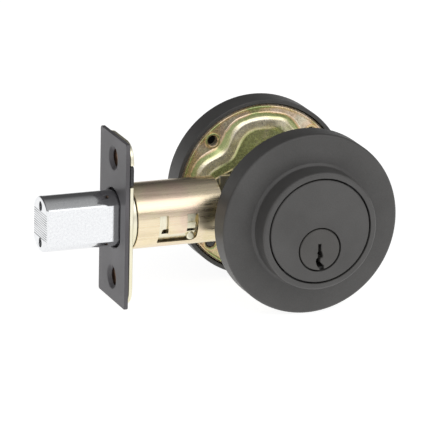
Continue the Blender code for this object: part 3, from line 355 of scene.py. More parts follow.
def oblong(a_low, a_high, b_low, b_high):
    """The four corners of a rectangle, in turn."""
    return [(a_low, b_low), (a_high, b_low), (a_high, b_high), (a_low, b_high)]


def plate_outline(half_a, half_b, corner):
    """A rectangle about the origin with round corners."""
    return rounded([(a, b, corner) for a, b in oblong(-half_a, half_a, -half_b, half_b)])


def grown(outline, amount):
    """The closed outline moved outwards by amount, each corner along its own bisector."""
    area = sum(a[0] * b[1] - b[0] * a[1] for a, b in zip(outline, outline[1:] + outline[:1]))
    side = 1 if area > 0 else -1
    result = []
    for i, here in enumerate(outline):
        here, before, after = Vector(here), Vector(outline[i - 1]), Vector(outline[(i + 1) % len(outline)])
        first, second = (here - before).normalized(), (after - here).normalized()
        bisector = Vector((first.y + second.y, -first.x - second.x)) * side
        if bisector.length < 1e-6:
            result.append(tuple(here))
            continue
        bisector.normalize()
        lean = max(0.45, bisector.dot(Vector((first.y, -first.x)) * side))
        result.append(tuple(here + bisector * amount / lean))
    return result


def finish(name, bm, sharp=SHARP):
    """The new object that the mesh becomes, smooth but for its sharp edges."""
    bmesh.ops.remove_doubles(bm, verts=bm.verts, dist=1e-8)
    bmesh.ops.recalc_face_normals(bm, faces=bm.faces)
    mesh = bpy.data.meshes.new(name)
    bm.to_mesh(mesh)
    bm.free()
    mesh.shade_smooth()
    mesh.set_sharp_from_angle(angle=math.radians(sharp))
    obj = bpy.data.objects.new(name, mesh)
    bpy.context.scene.collection.objects.link(obj)
    return obj


def place(axis, along, a, b):
    """A point given by its place along an axis and its two places across it."""
    return {"X": (along, a, b), "Y": (a, along, b), "Z": (a, b, along)}[axis]


def lathe(name, profile, centre=(0, 0), axis="Y", segments=ROUND):
    """Turns a closed outline of (radius, place) about an axis; radius zero closes it."""
    bm = bmesh.new()
    rings = []
    for radius, along in profile:
        ring = []
        for step in range(1 if radius <= 0 else segments):
            turn = 2 * math.pi * step / segments
            ring.append(bm.verts.new(place(axis, along, centre[0] + radius * math.cos(turn),
                                           centre[1] + radius * math.sin(turn))))
        rings.append(ring)
    for first, second in zip(rings, rings[1:] + rings[:1]):
        if len(first) == 1 and len(second) == 1:
            continue
        for step in range(segments):
            after = (step + 1) % segments
            corners = [first[step % len(first)], first[after % len(first)],
                       second[after % len(second)], second[step % len(second)]]
            bm.faces.new(list(dict.fromkeys(corners)))
    return finish(name, bm)


def skin(bm, loops, closed=False):
    """Walls between loops of 3-D points, each with the same count; closed joins the last to the first."""
    rings = [[bm.verts.new(point) for point in loop] for loop in loops]
    for first, second in zip(rings, rings[1:] + (rings[:1] if closed else [])):
        for i in range(len(first)):
            j = (i + 1) % len(first)
            bm.faces.new((first[i], first[j], second[j], second[i]))
    return rings


def loft(name, loops):
    """Joins loops of 3-D points and closes both ends with a flat face."""
    bm = bmesh.new()
    rings = skin(bm, loops)
    bm.faces.new(rings[0])
    bm.faces.new(rings[-1][::-1])
    return finish(name, bm)


def slab(name, outline, low, high, axis="Y", low_round=0.0, high_round=0.0, steps=4):
    """A bar of the outline's section. A positive radius rounds a rim, and a negative one flares it."""
    def rim(end, inward, radius):
        if not radius:
            return [(end, 0.0)]
        found = []
        for step in range(steps + 1):
            turn = math.pi / 2 * step / steps
            if radius > 0:
                depth, change = radius * (1 - math.cos(turn)), radius * (math.sin(turn) - 1)
            else:
                depth, change = -radius * math.sin(turn), -radius * (1 - math.cos(math.pi / 2 - turn))
            found.append((end + inward * depth, change))
        return found

    layers = rim(low, 1, low_round) + rim(high, -1, high_round)[::-1]
    loops = [[place(axis, along, a, b) for a, b in grown(outline, amount)] for along, amount in layers]
    return loft(name, loops)


def carve(obj, tools, operation="DIFFERENCE"):
    """Cuts the tools out of obj, or joins them to it, and removes them."""
    for tool in tools:
        modifier = obj.modifiers.new("carve", "BOOLEAN")
        modifier.operation = operation
        modifier.solver = "EXACT"
        modifier.object = tool
    bake(obj)
    for tool in tools:
        bpy.data.objects.remove(tool)
    return obj


def applied(obj):
    """Gives the object the mesh that its modifiers make, and returns it."""
    graph = bpy.context.evaluated_depsgraph_get()
    mesh = bpy.data.meshes.new_from_object(obj.evaluated_get(graph))
    obj.modifiers.clear()
    obj.data = mesh
    return mesh


def bake(obj):
    """Applies every modifier, then marks the sharp edges afresh."""
    mesh = applied(obj)
    mesh.shade_smooth()
    mesh.set_sharp_from_angle(angle=math.radians(SHARP))


def even_shading(obj):
    """Keeps large flat faces flat in shading beside their small rounded rims."""
    modifier = obj.modifiers.new("even", "WEIGHTED_NORMAL")
    modifier.keep_sharp = True
    modifier.weight = 80
    applied(obj)


def rod(name, centre, radius, low, high, axis="Y", segments=48, flare=0.0):
    """A round bar. flare widens its low end, 1 mm of it straight, to round the rim of the hole it cuts."""
    profile = [(0, low), (radius + flare, low)]
    if flare:
        profile.append((radius + flare, low + MM))
        for step in range(1, 5):
            turn = math.pi / 2 * step / 4
            profile.append((radius + flare * (1 - math.sin(turn)), low + MM + flare * (1 - math.cos(turn))))
    profile += [(radius, high), (0, high)]
    return lathe(name, profile, centre, axis, segments)


def dress(obj, look, *nodes):
    """Gives a new piece its material, its body and its slot, and hides the CAD nodes that it stands for."""
    obj.data.materials.clear()
    obj.data.materials.append(MATS[look])
    even_shading(obj)
    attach(obj, BODY_OF[nodes[0]])
    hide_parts(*nodes)
    return obj


# ---------------------------------------------------------------- roses

def rose_profile(rim, sign, boss_rise, bore):
    """Section of a rose: round edge, nearly flat face, stepped boss with a bore; sign points off the door."""
    top = BOSS_FRONT if sign < 0 else ROSE_IN_HIGH.y
    front = top - sign * boss_rise
    boss_in, rim_in = BOSS_R - ROSE_WALL, ROSE_R - ROSE_WALL
    under_top, under_front = top - sign * ROSE_WALL, front - sign * ROSE_WALL
    corners = [(ROSE_R, rim, 0.25 * MM), (ROSE_R, front, 1.0 * MM),
               (BOSS_R + 0.9 * MM, front + sign * 0.25 * MM, 0.8 * MM),
               (BOSS_R, front + sign * 0.9 * MM, 0.5 * MM), (BOSS_R - 0.1 * MM, top, 0.9 * MM),
               (bore, top, 0.25 * MM), (bore, under_top, 0.1 * MM), (boss_in, under_top, 0.5 * MM),
               (boss_in, under_front, 0.5 * MM), (rim_in, under_front, 0.8 * MM), (rim_in, rim, 0.25 * MM)]
    return rounded(corners)


def exterior_rose():
    """Street-side rose, open at its front for the cylinder's face."""
    shell = lathe("outer_rose_shell", rose_profile(ROSE_RIM, -1, BOSS_RISE, FACE_BORE))
    dress(shell, "black", "exterior_rose")


def interior_rose():
    """Room-side rose: a lower closed boss, bored for the spindle and two screws."""
    middle, screw_hole, past = 5.0 * MM, 1.9 * MM, 60 * MM
    shell = lathe("inner_rose_shell", rose_profile(ROSE_IN_LOW.y, 1, BOSS_IN_RISE, middle))
    cap = rod("cap", (0, 0), middle + 1.5 * MM, ROSE_IN_HIGH.y - ROSE_WALL, ROSE_IN_HIGH.y)
    carve(shell, [cap], "UNION")
    tools = [rod("bore", (0, AXIS_Z), SPINDLE_R + GAP, 0, past)]
    for side in (-1, 1):
        tools.append(rod("hole", (side * HOLE_XZ, -HOLE_XZ), screw_hole, 0, past))
    carve(shell, tools)
    dress(shell, "black", "interior_rose")


def rose_screws():
    """Oval-head screws with a cross recess, through the inner rose."""
    shank, head_r, head_deep = 1.5 * MM, 2.9 * MM, 1.6 * MM
    arm, half, recess, twist = 1.7 * MM, 0.32 * MM, 1.1 * MM, 0.35
    for side, label in ((-1, "left"), (1, "right")):
        low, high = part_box(f"rose_screw_{label}")
        head_low = high.y - head_deep
        corners = [(0, low.y, 0), (shank, low.y, 0.3 * MM), (shank, head_low, 0),
                   (head_r, head_low, 0.1 * MM), (head_r, head_low + 0.6 * MM, 0.5 * MM),
                   (1.8 * MM, high.y - 0.2 * MM, 1.2 * MM), (0, high.y, 0)]
        screw = lathe(f"inner_rose_screw_{label}", rounded(corners), (side * HOLE_XZ, -HOLE_XZ), segments=40)
        centre = Vector((side * HOLE_XZ, -HOLE_XZ))
        tools = []
        for turn in (twist, twist + math.pi / 2):
            across = Vector((math.cos(turn), math.sin(turn)))
            along = Vector((-math.sin(turn), math.cos(turn)))
            slot = [centre + across * a * arm + along * b * half for a, b in oblong(-1, 1, -1, 1)]
            tools.append(slab("recess", [tuple(c) for c in slot], high.y - recess, high.y + MM))
        carve(screw, tools)
        dress(screw, "black", f"rose_screw_{label}")


def thumbturn():
    """Round skirt and a paddle that widens and thins towards its tip."""
    low, tip, skirt = TURN_LOW.y, TURN_HIGH.y, 9.6 * MM
    corners = [(0, low, 0), (skirt, low, 0.2 * MM), (skirt, low + 1.8 * MM, 0.9 * MM),
               (5.5 * MM, low + 2.7 * MM, 1.5 * MM), (4.0 * MM, low + 4.0 * MM, 0), (0, low + 4.0 * MM, 0)]
    knob = lathe("thumbturn_knob", rounded(corners), (0, AXIS_Z), segments=96)
    # Stations along the paddle in mm: how far out, half its width, half its thickness
    stations = [(0.6, 6.3, 3.2), (2.4, 6.6, 3.3), (4.6, 7.4, 3.35), (7.0, 9.6, 3.35), (9.2, 12.8, 3.25),
                (11.2, 15.2, 3.1), (13.5, 16.0, 2.95), (15.5, 15.8, 2.75), (16.6, 15.0, 2.45),
                (17.3, 13.6, 1.9), (17.6, 12.2, 1.2)]
    scale = (tip - low - 0.1 * MM) / (stations[-1][0] * MM)
    sides = 64
    loops = []
    for along, wide, thick in stations:
        loop = []
        for step in range(sides):
            turn = 2 * math.pi * step / sides
            c, n = math.cos(turn), math.sin(turn)
            x = wide * MM * math.copysign(abs(c) ** 0.42, c)
            z = thick * MM * math.copysign(abs(n) ** 0.7, n)
            loop.append((x, low + along * MM * scale, AXIS_Z + z))
        loops.append(loop)
    paddle = loft("paddle", loops)
    smooth = paddle.modifiers.new("smooth", "SUBSURF")
    smooth.levels = 1
    bake(paddle)
    carve(knob, [paddle], "UNION")
    half = 3.3 * MM
    socket = oblong(-half, half, AXIS_Z - half, AXIS_Z + half)
    carve(knob, [slab("socket", socket, low - MM, low + 7.5 * MM)])
    dress(knob, "black", "thumbturn")


# ---------------------------------------------------------------- key plug

def keyway_outline():
    """The zigzag key slot: narrow at its top, open at the plug's rim."""
    right = [(0.5, 1.9), (0.55, -0.4), (0.95, -1.2), (1.2, -2.1), (1.0, -2.8), (0.35, -3.1), (0.25, -4.2),
             (0.9, -5.0), (1.6, -5.6), (1.9, -8.6)]
    left = [(0.3, -8.6), (0.2, -6.6), (-0.5, -5.9), (-1.0, -5.0), (-1.25, -4.0), (-1.2, -3.3), (-0.6, -2.7),
            (-0.55, -1.7), (-0.8, -1.2), (-0.5, -0.5), (-0.5, 1.9)]
    return [(x * MM, AXIS_Z + z * MM) for x, z in right + left]


def chambers(low, high):
    """Cutters for the row of pin chambers."""
    return [rod("chamber", (0, FIRST_PIN_Y + i * PIN_PITCH), CHAMBER_R, low, high, "Z", 24)
            for i in range(PINS)]


def key_plug():
    """The plug, with its drilled pin chambers, its lug and the keyway's worn mouth."""
    low, lug_back = PLUG_LOW.y, PLUG_HIGH.y
    back = lug_back - 1.4 * MM
    face, flange, groove, tail = 7.1 * MM, low + 1.7 * MM, PLUG_R - 0.9 * MM, PLUG_R - 0.4 * MM
    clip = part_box("plug_clip")
    corners = [(0, low, 0), (face, low, 0.45 * MM), (face, flange, 0), (PLUG_R, flange, 0),
               (PLUG_R, clip[0].y - GAP, 0), (groove, clip[0].y - GAP, 0), (groove, clip[1].y + GAP, 0),
               (tail, clip[1].y + GAP, 0), (tail, back, 0), (0, back, 0)]
    plug = lathe("key_plug_core", rounded(corners), (0, AXIS_Z), segments=96)
    lug = arc((0, AXIS_Z), 5.6 * MM, 52, 128, 12) + arc((0, AXIS_Z), 3.4 * MM, 128, 52, 12)
    carve(plug, [slab("lug", lug, back - 0.5 * MM, lug_back)], "UNION")
    keyway = slab("keyway", keyway_outline(), low - 0.01 * MM, low + 22.4 * MM, low_round=-0.22 * MM)
    carve(plug, [keyway] + chambers(AXIS_Z - 0.4 * MM, MM))
    dress(plug, "plug", "plug")


def cylinder():
    """Cylinder: face with an eased edge, and behind it the barrel, the pin tower and two screw lugs."""
    front, back = BODY_LOW.y, BODY_HIGH.y
    face_r, face_back = 17.6 * MM, BODY_LOW.y + 3.4 * MM
    corners = [(0, front, 0), (face_r, front, 0.5 * MM), (face_r, face_back, 0.2 * MM), (0, face_back, 0)]
    body = lathe("cylinder_face", rounded(corners))
    half, barrel, top = 5.2 * MM, PLUG_R + 2.9 * MM, 11.8 * MM
    meet = math.degrees(math.acos(half / barrel))
    outline = [(half, top), (-half, top)] + arc((0, AXIS_Z), barrel, 180 - meet, 360 + meet, 40)
    joined = [slab("tower", outline, face_back - MM, back, high_round=0.3 * MM)]
    tools = [rod("face_hole", (0, AXIS_Z), 7.55 * MM, front - MM, front + 2.1 * MM, segments=96,
                 flare=0.15 * MM),
             rod("bore", (0, AXIS_Z), PLUG_R + GAP, front - MM, back + MM, segments=64)]
    for side in (-1, 1):
        joined.append(rod("lug", (side * LUG_X, 0), 3.2 * MM, face_back - MM, face_back + 7 * MM))
        tools.append(rod("thread", (side * LUG_X, 0), 1.6 * MM, face_back, face_back + 9 * MM, segments=24))
    tools += chambers(-2 * MM, top + MM)
    carve(body, joined, "UNION")
    carve(body, tools)
    dress(body, "black", "cylinder_body")


# ---------------------------------------------------------------- latch

def bolt_outline(grow=0.0):
    """Bolt section in Y, Z: flat sides, rounded top and bottom."""
    half, flat = (BOLT_HIGH.y - BOLT_LOW.y) / 2, 6.2 * MM
    crown = BOLT_HIGH.z - flat
    radius = (half * half + crown * crown) / (2 * crown)
    sweep = math.degrees(math.asin(half / radius))
    top = arc((0, flat + crown - radius), radius, 90 - sweep, 90 + sweep, 28)
    bottom = arc((0, -flat - crown + radius), radius, 270 - sweep, 270 + sweep, 28)
    return grown(top + bottom, grow) if grow else top + bottom


def latch_bolt():
    """Chrome bolt: rounded rim, fine grooves across its end, two drillings for the hardened pins."""
    tip, back = BOLT_LOW.x, BOLT_HIGH.x
    bolt = slab("sliding_bolt", bolt_outline(), tip, back, "X", 0.8 * MM, 0.2 * MM, steps=5)
    tools = []
    past = BOLT_HIGH.y + MM
    for i in range(12):
        z = (-4.4 + 0.8 * i) * MM
        section = [(tip - 0.1 * MM, z - 0.45 * MM), (tip - 0.1 * MM, z + 0.45 * MM), (tip + 0.17 * MM, z)]
        tools.append(loft("groove", [[(x, y, z) for x, z in section] for y in (-past, past)]))
    for side in (-1, 1):
        spot = (0, side * 6.3 * MM)
        tools.append(rod("drilling", spot, 1.55 * MM, tip - MM, tip + 23 * MM, "X", flare=0.2 * MM))
    rear = oblong(-past, past, -4.2 * MM, 4.2 * MM)
    tools.append(slab("rear", rear, back - 6 * MM, back + MM, "X"))
    carve(bolt, tools)
    tongue = oblong(-2.6 * MM, 2.6 * MM, -4.6 * MM, 4.6 * MM)
    carve(bolt, [slab("tongue", tongue, back - 6.5 * MM, back, "X")], "UNION")
    carve(bolt, [rod("cross", (CROSS_X, 0), CROSS_R, -8 * MM, 8 * MM)])
    dress(bolt, "chrome", "bolt")


def edge_plate():
    """Front plate with a close window for the bolt and two countersunk holes."""
    front, back = PLATE_LOW.x, PLATE_HIGH.x
    outline = plate_outline(PLATE_HIGH.y, PLATE_HIGH.z, 0.9 * MM)
    plate = slab("front_edge_plate", outline, front, back, "X", 0.25 * MM, 0.1 * MM)
    tools = [slab("window", bolt_outline(0.7 * MM), front - 0.01 * MM, back + MM, "X", low_round=-0.3 * MM)]
    shank = 3.0 * MM
    for side in (-1, 1):
        corners = [(0, front - MM, 0), (4.5 * MM, front - MM, 0), (4.4 * MM, front, 0),
                   (4.1 * MM, front + 0.15 * MM, 0.2 * MM), (shank, back - 0.2 * MM, 0.1 * MM),
                   (shank, back + MM, 0), (0, back + MM, 0)]
        tools.append(lathe("funnel", rounded(corners), (0, side * SCREW_Z), "X", 64))
    carve(plate, tools)
    dress(plate, "plate", "faceplate")


def backing():
    """Stamped plate with round corners, a smooth dimple behind each screw and a drawn collar for the tube."""
    front, rear = BACK_LOW.x, BACK_LOW.x + 1.3 * MM
    outline = plate_outline(BACK_HIGH.y, BACK_HIGH.z, 6.3 * MM)
    plate = slab("stamped_backing", outline, front, rear, "X", 0.3 * MM, 0.3 * MM)
    joined, tools = [], []
    for side in (-1, 1):
        spot = (0, side * SCREW_Z)
        corners = [(0, rear - 0.6 * MM, 0), (6.4 * MM, rear - 0.6 * MM, 0),
                   (6.2 * MM, rear + 0.1 * MM, 0.5 * MM), (4.3 * MM, rear + 1.4 * MM, 0.8 * MM),
                   (0, rear + 1.5 * MM, 0)]
        joined.append(lathe("dimple", rounded(corners), spot, "X", 64))
        corners = [(0, front - MM, 0), (5.2 * MM, front - MM, 0), (4.5 * MM, front, 0.5 * MM),
                   (2.4 * MM, rear + 0.8 * MM, 0.4 * MM), (2.3 * MM, rear + 3 * MM, 0), (0, rear + 3 * MM, 0)]
        tools.append(lathe("funnel", rounded(corners), spot, "X", 64))
    collar, flare = 10.9 * MM, 11.8 * MM
    corners = [(0, front + 0.5 * MM, 0), (flare, front + 0.5 * MM, 0), (flare, rear - 0.2 * MM, 0.0),
               (collar, rear + 0.35 * MM, 0.6 * MM), (collar, BACK_HIGH.x, 0.2 * MM), (0, BACK_HIGH.x, 0)]
    joined.append(lathe("collar", rounded(corners), (0, 0), "X"))
    tools.append(rod("window", (0, 0), 10.3 * MM, front - MM, BACK_HIGH.x + MM, "X", ROUND))
    for name, notch in (("notch", oblong(-20 * MM, -6.7 * MM, 13.5 * MM, 21.1 * MM)),
                        ("rib_notch", oblong(-9.8 * MM, -6.7 * MM, 2.7 * MM, 14 * MM))):
        tools.append(slab(name, notch, front - MM, rear + 0.05 * MM, "X"))
    carve(plate, joined, "UNION")
    carve(plate, tools)
    dress(plate, "copper_cream", "backing_plate")


def guide():
    """Black collar in the tube's mouth, and the round-cornered tab at the plate's edge."""
    front, rear = GUIDE_LOW.x, GUIDE_HIGH.x
    lip = front + 0.03 * MM
    corners = [(0, lip, 0), (10.1 * MM, lip, 0.2 * MM), (10.1 * MM, rear, 0.4 * MM), (0, rear, 0)]
    collar = lathe("guide_collar", rounded(corners), (0, 0), "X")
    bore = slab("bore", bolt_outline(0.2 * MM), front - 0.01 * MM, rear + MM, "X", low_round=-0.3 * MM)
    carve(collar, [bore])
    low, high, out, into = 13.8 * MM, GUIDE_HIGH.z, GUIDE_LOW.y, -7.0 * MM
    tab = rounded([(out, low, 1.1 * MM), (into, low, 0.6 * MM), (into, high, 0.6 * MM),
                   (out, high, 1.1 * MM)])
    rib = oblong(-9.5 * MM, -7.1 * MM, 3 * MM, 14.3 * MM)
    carve(collar, [slab("tab", tab, front, front + 1.3 * MM, "X", 0.1 * MM, 0.35 * MM),
                   slab("rib", rib, front + 0.12 * MM, front + 1.2 * MM, "X")], "UNION")
    dress(collar, "nylon", "bolt_guide")


def carriage():
    """Pressed carriage that the bolt is pinned to: a tall head, a low rail and a round riveted end."""
    front, bottom, head = CARRIAGE_LOW.x, CARRIAGE_LOW.z, CARRIAGE_HIGH.z
    shoulder, rail, ledge = -3.8 * MM, -5.9 * MM, -4.5 * MM
    head_back, rivet_x, boss = -41.6 * MM, -35.4 * MM, 2.6 * MM
    neck = BOLT_HIGH.x + 0.6 * MM
    start = [(front, shoulder, 0.3 * MM), (neck, shoulder, 0.3 * MM), (neck + 1.5 * MM, bottom, 0.5 * MM)]
    round_end = [(a, b, 0) for a, b in arc((rivet_x, bottom + boss), boss, 270, 450, 20)]
    top = [(rivet_x - 3 * MM, rail, 0.6 * MM), (-44.0 * MM, rail, 0.2 * MM), (-43.6 * MM, ledge, 0.3 * MM),
           (head_back, ledge, 0.3 * MM), (head_back, head, 0.5 * MM), (front, head, 0.6 * MM)]
    outline = rounded(start + round_end + top)
    edge, inside = CARRIAGE_HIGH.y, 3.1 * MM
    body = slab("bolt_carrier", outline, -edge, -inside, low_round=0.25 * MM)
    web = oblong(-3.6 * MM, 3.6 * MM, bottom, bottom + 1.4 * MM)
    joined = [slab("far", outline, inside, edge, high_round=0.25 * MM),
              slab("web", web, -49.4 * MM, -41 * MM, "X")]
    carve(body, joined, "UNION")
    carve(body, [rod("pin_hole", (CROSS_X, 0), CROSS_R, -8 * MM, 8 * MM),
                 rod("rivet_hole", (rivet_x, -6.2 * MM), 1.5 * MM, -8 * MM, 8 * MM)])
    dress(body, "grey", "bolt_carriage")
    # Painted light: the head, lit through the window, is given the paler zinc, and the rail keeps the darker
    # grey zinc for the shade under the window's lower edge.
    body.data.materials.append(MATS["cream"])
    for face in body.data.polygons:
        if face.center.z > -5.7 * MM and face.center.x < -41 * MM:
            face.material_index = 1


def rivet():
    """Domed rivet through the carriage and the yoke, with two collars."""
    low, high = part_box("link_rivet")
    centre = ((low.x + high.x) / 2, (low.z + high.z) / 2)
    half, shank, collar = high.y, 1.2 * MM, 2.1 * MM
    end = [(0, half, 0), (0.9 * MM, half, 0.3 * MM), (shank, half - 0.4 * MM, 0.3 * MM), (shank, 2.8 * MM, 0),
           (collar, 2.8 * MM, 0.1 * MM), (collar, 1.8 * MM, 0.1 * MM), (shank, 1.8 * MM, 0)]
    corners = [(radius, -along, corner) for radius, along, corner in end] + end[::-1]
    dress(lathe("carrier_rivet", rounded(corners), centre, segments=40), "grey", "link_rivet")


def eased(node, look, width=0.15 * MM):
    """The CAD piece itself, with its flat faces made whole and its sharp edges eased."""
    bm = bmesh.new()
    bm.from_mesh(frame["nodes"][node].data)
    bmesh.ops.remove_doubles(bm, verts=bm.verts, dist=1e-6)
    bmesh.ops.dissolve_limit(bm, angle_limit=math.radians(1.0), verts=bm.verts, edges=bm.edges)
    edges = [edge for edge in bm.edges
             if len(edge.link_faces) == 2 and edge.calc_face_angle() > math.radians(SHARP)]
    bmesh.ops.bevel(bm, geom=edges, offset=width, segments=2, profile=0.6, affect="EDGES", clamp_overlap=True)
    dress(finish(f"{node}_eased", bm, 40), look, node)


def latch_sleeve():
    """Drawn tube with the window on its outer side and the tongue left in the window."""
    outer, inner = TUBE_HIGH.z, TUBE_HIGH.z - 0.8 * MM
    front, back = TUBE_LOW.x, TUBE_HIGH.x
    corners = [(inner, front, 0.15 * MM), (outer, front, 0.25 * MM), (outer, back, 0.2 * MM),
               (inner, back, 0.15 * MM)]
    tube = lathe("latch_sleeve", rounded(corners, 3), (0, 0), "X")
    low_x, high_x, low_z, high_z = -47.5 * MM, -33.7 * MM, -7.7 * MM, 2.3 * MM
    left, right, tip = -44.3 * MM, -37.7 * MM, -4.5 * MM
    corners = [(low_x, high_z, 0.4 * MM), (low_x, low_z, 0.5 * MM), (high_x, low_z, 1.6 * MM),
               (high_x, high_z, 0.9 * MM), (right, high_z, 0.3 * MM), (right, tip, 0.7 * MM),
               (left, tip, 0.3 * MM), (left, high_z, 0.3 * MM)]
    outline = rounded(corners, 4)
    carve(tube, [slab("window", outline, -13 * MM, -4 * MM)])
    ease_rim(tube, outer, 0.3 * MM)
    dress(tube, "zinc", "latch_tube")


def ease_rim(tube, radius, width):
    """Rounds the window's rim where it meets the tube's outside."""
    bm = bmesh.new()
    bm.from_mesh(tube.data)
    edges = []
    for edge in bm.edges:
        ends = [vert.co for vert in edge.verts]
        outside = all(abs(math.hypot(co.y, co.z) - radius) < 0.03 * MM for co in ends)
        by_window = all(-50 * MM < co.x < -30 * MM for co in ends)
        if outside and by_window and len(edge.link_faces) == 2 and edge.calc_face_angle() > math.radians(40):
            edges.append(edge)
    bmesh.ops.bevel(bm, geom=edges, offset=width, segments=3, profile=0.5, affect="EDGES", clamp_overlap=True)
    bm.to_mesh(tube.data)
    bm.free()


def inner_sleeve():
    """Curved strip behind the tube's window: a notch, a stepped end, a slot and a round boss."""
    low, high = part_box("latch_inner_sleeve")
    radius, flat, bottom = TUBE_HIGH.z - 1.1 * MM, -7.1 * MM, -6.9 * MM
    start = 180 - math.degrees(math.asin(high.z / radius))
    stop = 180 - math.degrees(math.asin(bottom / radius))
    outline = arc((0, 0), radius, start, stop, 48) + [(flat, bottom), (flat, high.z)]
    strip = slab("sleeve_strip", outline, low.x, high.x, "X")
    boss_r, boss_root, boss_tip = 1.45 * MM, flat + 0.3 * MM, -9.2 * MM
    corners = [(0, boss_root, 0), (boss_r, boss_root, 0), (boss_r, boss_tip, 0.6 * MM), (0, boss_tip, 0)]
    carve(strip, [lathe("boss", rounded(corners), (-35.85 * MM, -5.8 * MM), segments=40)], "UNION")
    notch = rounded([(-46.2 * MM, -4.4 * MM, 0.2 * MM), (-43.8 * MM, -4.4 * MM, 0.1 * MM),
                     (-43.8 * MM, -2.7 * MM, 0.2 * MM), (-46.2 * MM, -2.7 * MM, 1.2 * MM)])
    slot = rounded([(-37.6 * MM, -4.15 * MM, 0.4 * MM), (-33 * MM, -4.15 * MM, 0), (-33 * MM, -3.1 * MM, 0),
                    (-37.6 * MM, -3.1 * MM, 0.4 * MM)])
    step = [(-38.4 * MM, -1.0 * MM), (-33 * MM, -1.0 * MM), (-33 * MM, 0.7 * MM), (-38.4 * MM, 0.3 * MM)]
    outside, inside = -12 * MM, -6 * MM
    carve(strip, [slab("notch", notch, outside, inside), slab("slot", slot, outside, inside),
                  slab("step", step, outside, -9.35 * MM)])
    dress(strip, "cream", "latch_inner_sleeve")


# ---------------------------------------------------------------- mounting plate

def lobed(turn, outer, notch):
    """Radius of a disc of the outer radius, hollowed softly round each of the four diagonal holes."""
    nearest = (turn - math.pi / 4) % (math.pi / 2)
    away = min(nearest, math.pi / 2 - nearest)
    inside = notch * notch - (HOLE_PITCH * math.sin(away)) ** 2
    if inside <= 0:
        return outer
    return min(outer, HOLE_PITCH * math.cos(away) - math.sqrt(inside))


def softened(outer, notch, count, reach=6):
    """The lobed radius at count angles, averaged over its neighbours so that the corners flow."""
    raw = [lobed(2 * math.pi * i / count, outer, notch) for i in range(count)]
    near = range(-reach, reach + 1)
    for _ in range(2):
        raw = [sum(raw[(i + k) % count] for k in near) / len(near) for i in range(count)]
    return raw


def mounting_plate():
    """Stamped plate in the back of the inner rose: rolled rim, sloping lobed ridge and a dished middle."""
    count, rim, thick = 240, MOUNT_RIM, 1.0 * MM
    # Rings in mm from the rim inwards: radius, notch round each hole, height over the rim, rounding
    ridge = [(29.2, None, 0.8, 0.0), (28.5, None, 0.0, 0.6), (27.9, None, 0.45, 0.5), (26.6, 4.2, 0.5, 0.6),
             (25.5, 5.6, -1.0, 1.2), (24.4, 6.7, -1.75, 1.2), (21.9, 9.2, -1.4, 1.6),
             (20.8, 10.3, -0.85, 0.8), (9.4, None, -0.8, 0.0)]
    radii = [softened(r * MM, n * MM, count) if n else [r * MM] * count for r, n, _, _ in ridge]
    loops = []
    for i in range(count):
        turn = 2 * math.pi * i / count
        face = [(radii[k][i], ridge[k][2] * MM, ridge[k][3] * MM) for k in range(len(ridge))]
        behind = [(r, lift + thick, size) for r, lift, size in face[::-1]]
        section = rounded(face + behind, 5)
        loops.append([(r * math.cos(turn), rim + lift, r * math.sin(turn)) for r, lift in section])
    bm = bmesh.new()
    skin(bm, loops, closed=True)
    plate = finish("mounting_stamping", bm, 50)
    joined, tools = [], []
    hole, past = 1.75 * MM, 8 * MM
    for i in range(4):
        turn = math.radians(45 + 90 * i)
        spot = (HOLE_PITCH * math.cos(turn), HOLE_PITCH * math.sin(turn))
        joined.append(rod("collar", spot, 3.0 * MM, rim + 0.5 * MM, rim + 2.8 * MM))
        corners = [(0, rim + 0.6 * MM, 0), (2.9 * MM, rim + 0.6 * MM, 0),
                   (2.6 * MM, rim + 0.05 * MM, 0.3 * MM), (0, rim + 0.05 * MM, 0)]
        joined.append(lathe("lip", rounded(corners), spot, segments=48))
        corners = [(0, rim - 3 * MM, 0), (2.6 * MM, rim - 3 * MM, 0), (2.3 * MM, rim - 0.1 * MM, 0.2 * MM),
                   (hole, rim + 0.5 * MM, 0.5 * MM), (hole, rim + 6 * MM, 0), (0, rim + 6 * MM, 0)]
        tools.append(lathe("mouth", rounded(corners), spot, segments=48))
    for side in (-1, 1):
        spot = (side * 9.5 * MM, side * 16.5 * MM)
        joined.append(rod("pad", spot, 5.0 * MM, rim - 0.2 * MM, rim + 1.6 * MM))
        tools.append(rod("screw_hole", spot, 2.5 * MM, rim - 6 * MM, rim + past))
    tools.append(rod("axis_hole", (0, AXIS_Z), 8.4 * MM, rim - 6 * MM, rim + past))
    carve(plate, joined, "UNION")
    carve(plate, tools)
    dress(plate, "iridescent", "mounting_plate")


# ---------------------------------------------------------------- camera, lights and floor

def camera():
    """Long-lens camera 1.5 m away, to the left of the lock's face and above it."""
    azimuth, elevation, roll = (math.radians(x) for x in (21.54, 17.07, 1.24))
    distance, across, upwards = 1500 * MM, -22.08 * MM, -4.46 * MM
    back = Vector((-math.sin(azimuth) * math.cos(elevation), -math.cos(azimuth) * math.cos(elevation),
                   math.sin(elevation)))
    level = Vector((math.cos(azimuth), -math.sin(azimuth), 0))
    upright = back.cross(level)
    right = level * math.cos(roll) + upright * math.sin(roll)
    up = upright * math.cos(roll) - level * math.sin(roll)
    data = bpy.data.cameras.new("camera")
    data.sensor_width = 36
    data.lens = 372.265
    data.clip_start, data.clip_end = 0.05, 20
    obj = bpy.data.objects.new("camera", data)
    bpy.context.scene.collection.objects.link(obj)
    turn = Matrix((right, up, back)).transposed().to_4x4()
    turn.translation = back * distance + right * across + up * upwards
    obj.matrix_world = turn
    bpy.context.scene.camera = obj


def area_light(name, spot, target, size, power):
    """A rectangular softbox at a spot, turned to its target."""
    data = bpy.data.lights.new(name, "AREA")
    data.shape = "RECTANGLE"
    data.size, data.size_y = size
    data.energy = power
    obj = bpy.data.objects.new(name, data)
    obj.location = spot
    obj.rotation_euler = (Vector(target) - Vector(spot)).to_track_quat("-Z", "Y").to_euler()
    bpy.context.scene.collection.objects.link(obj)


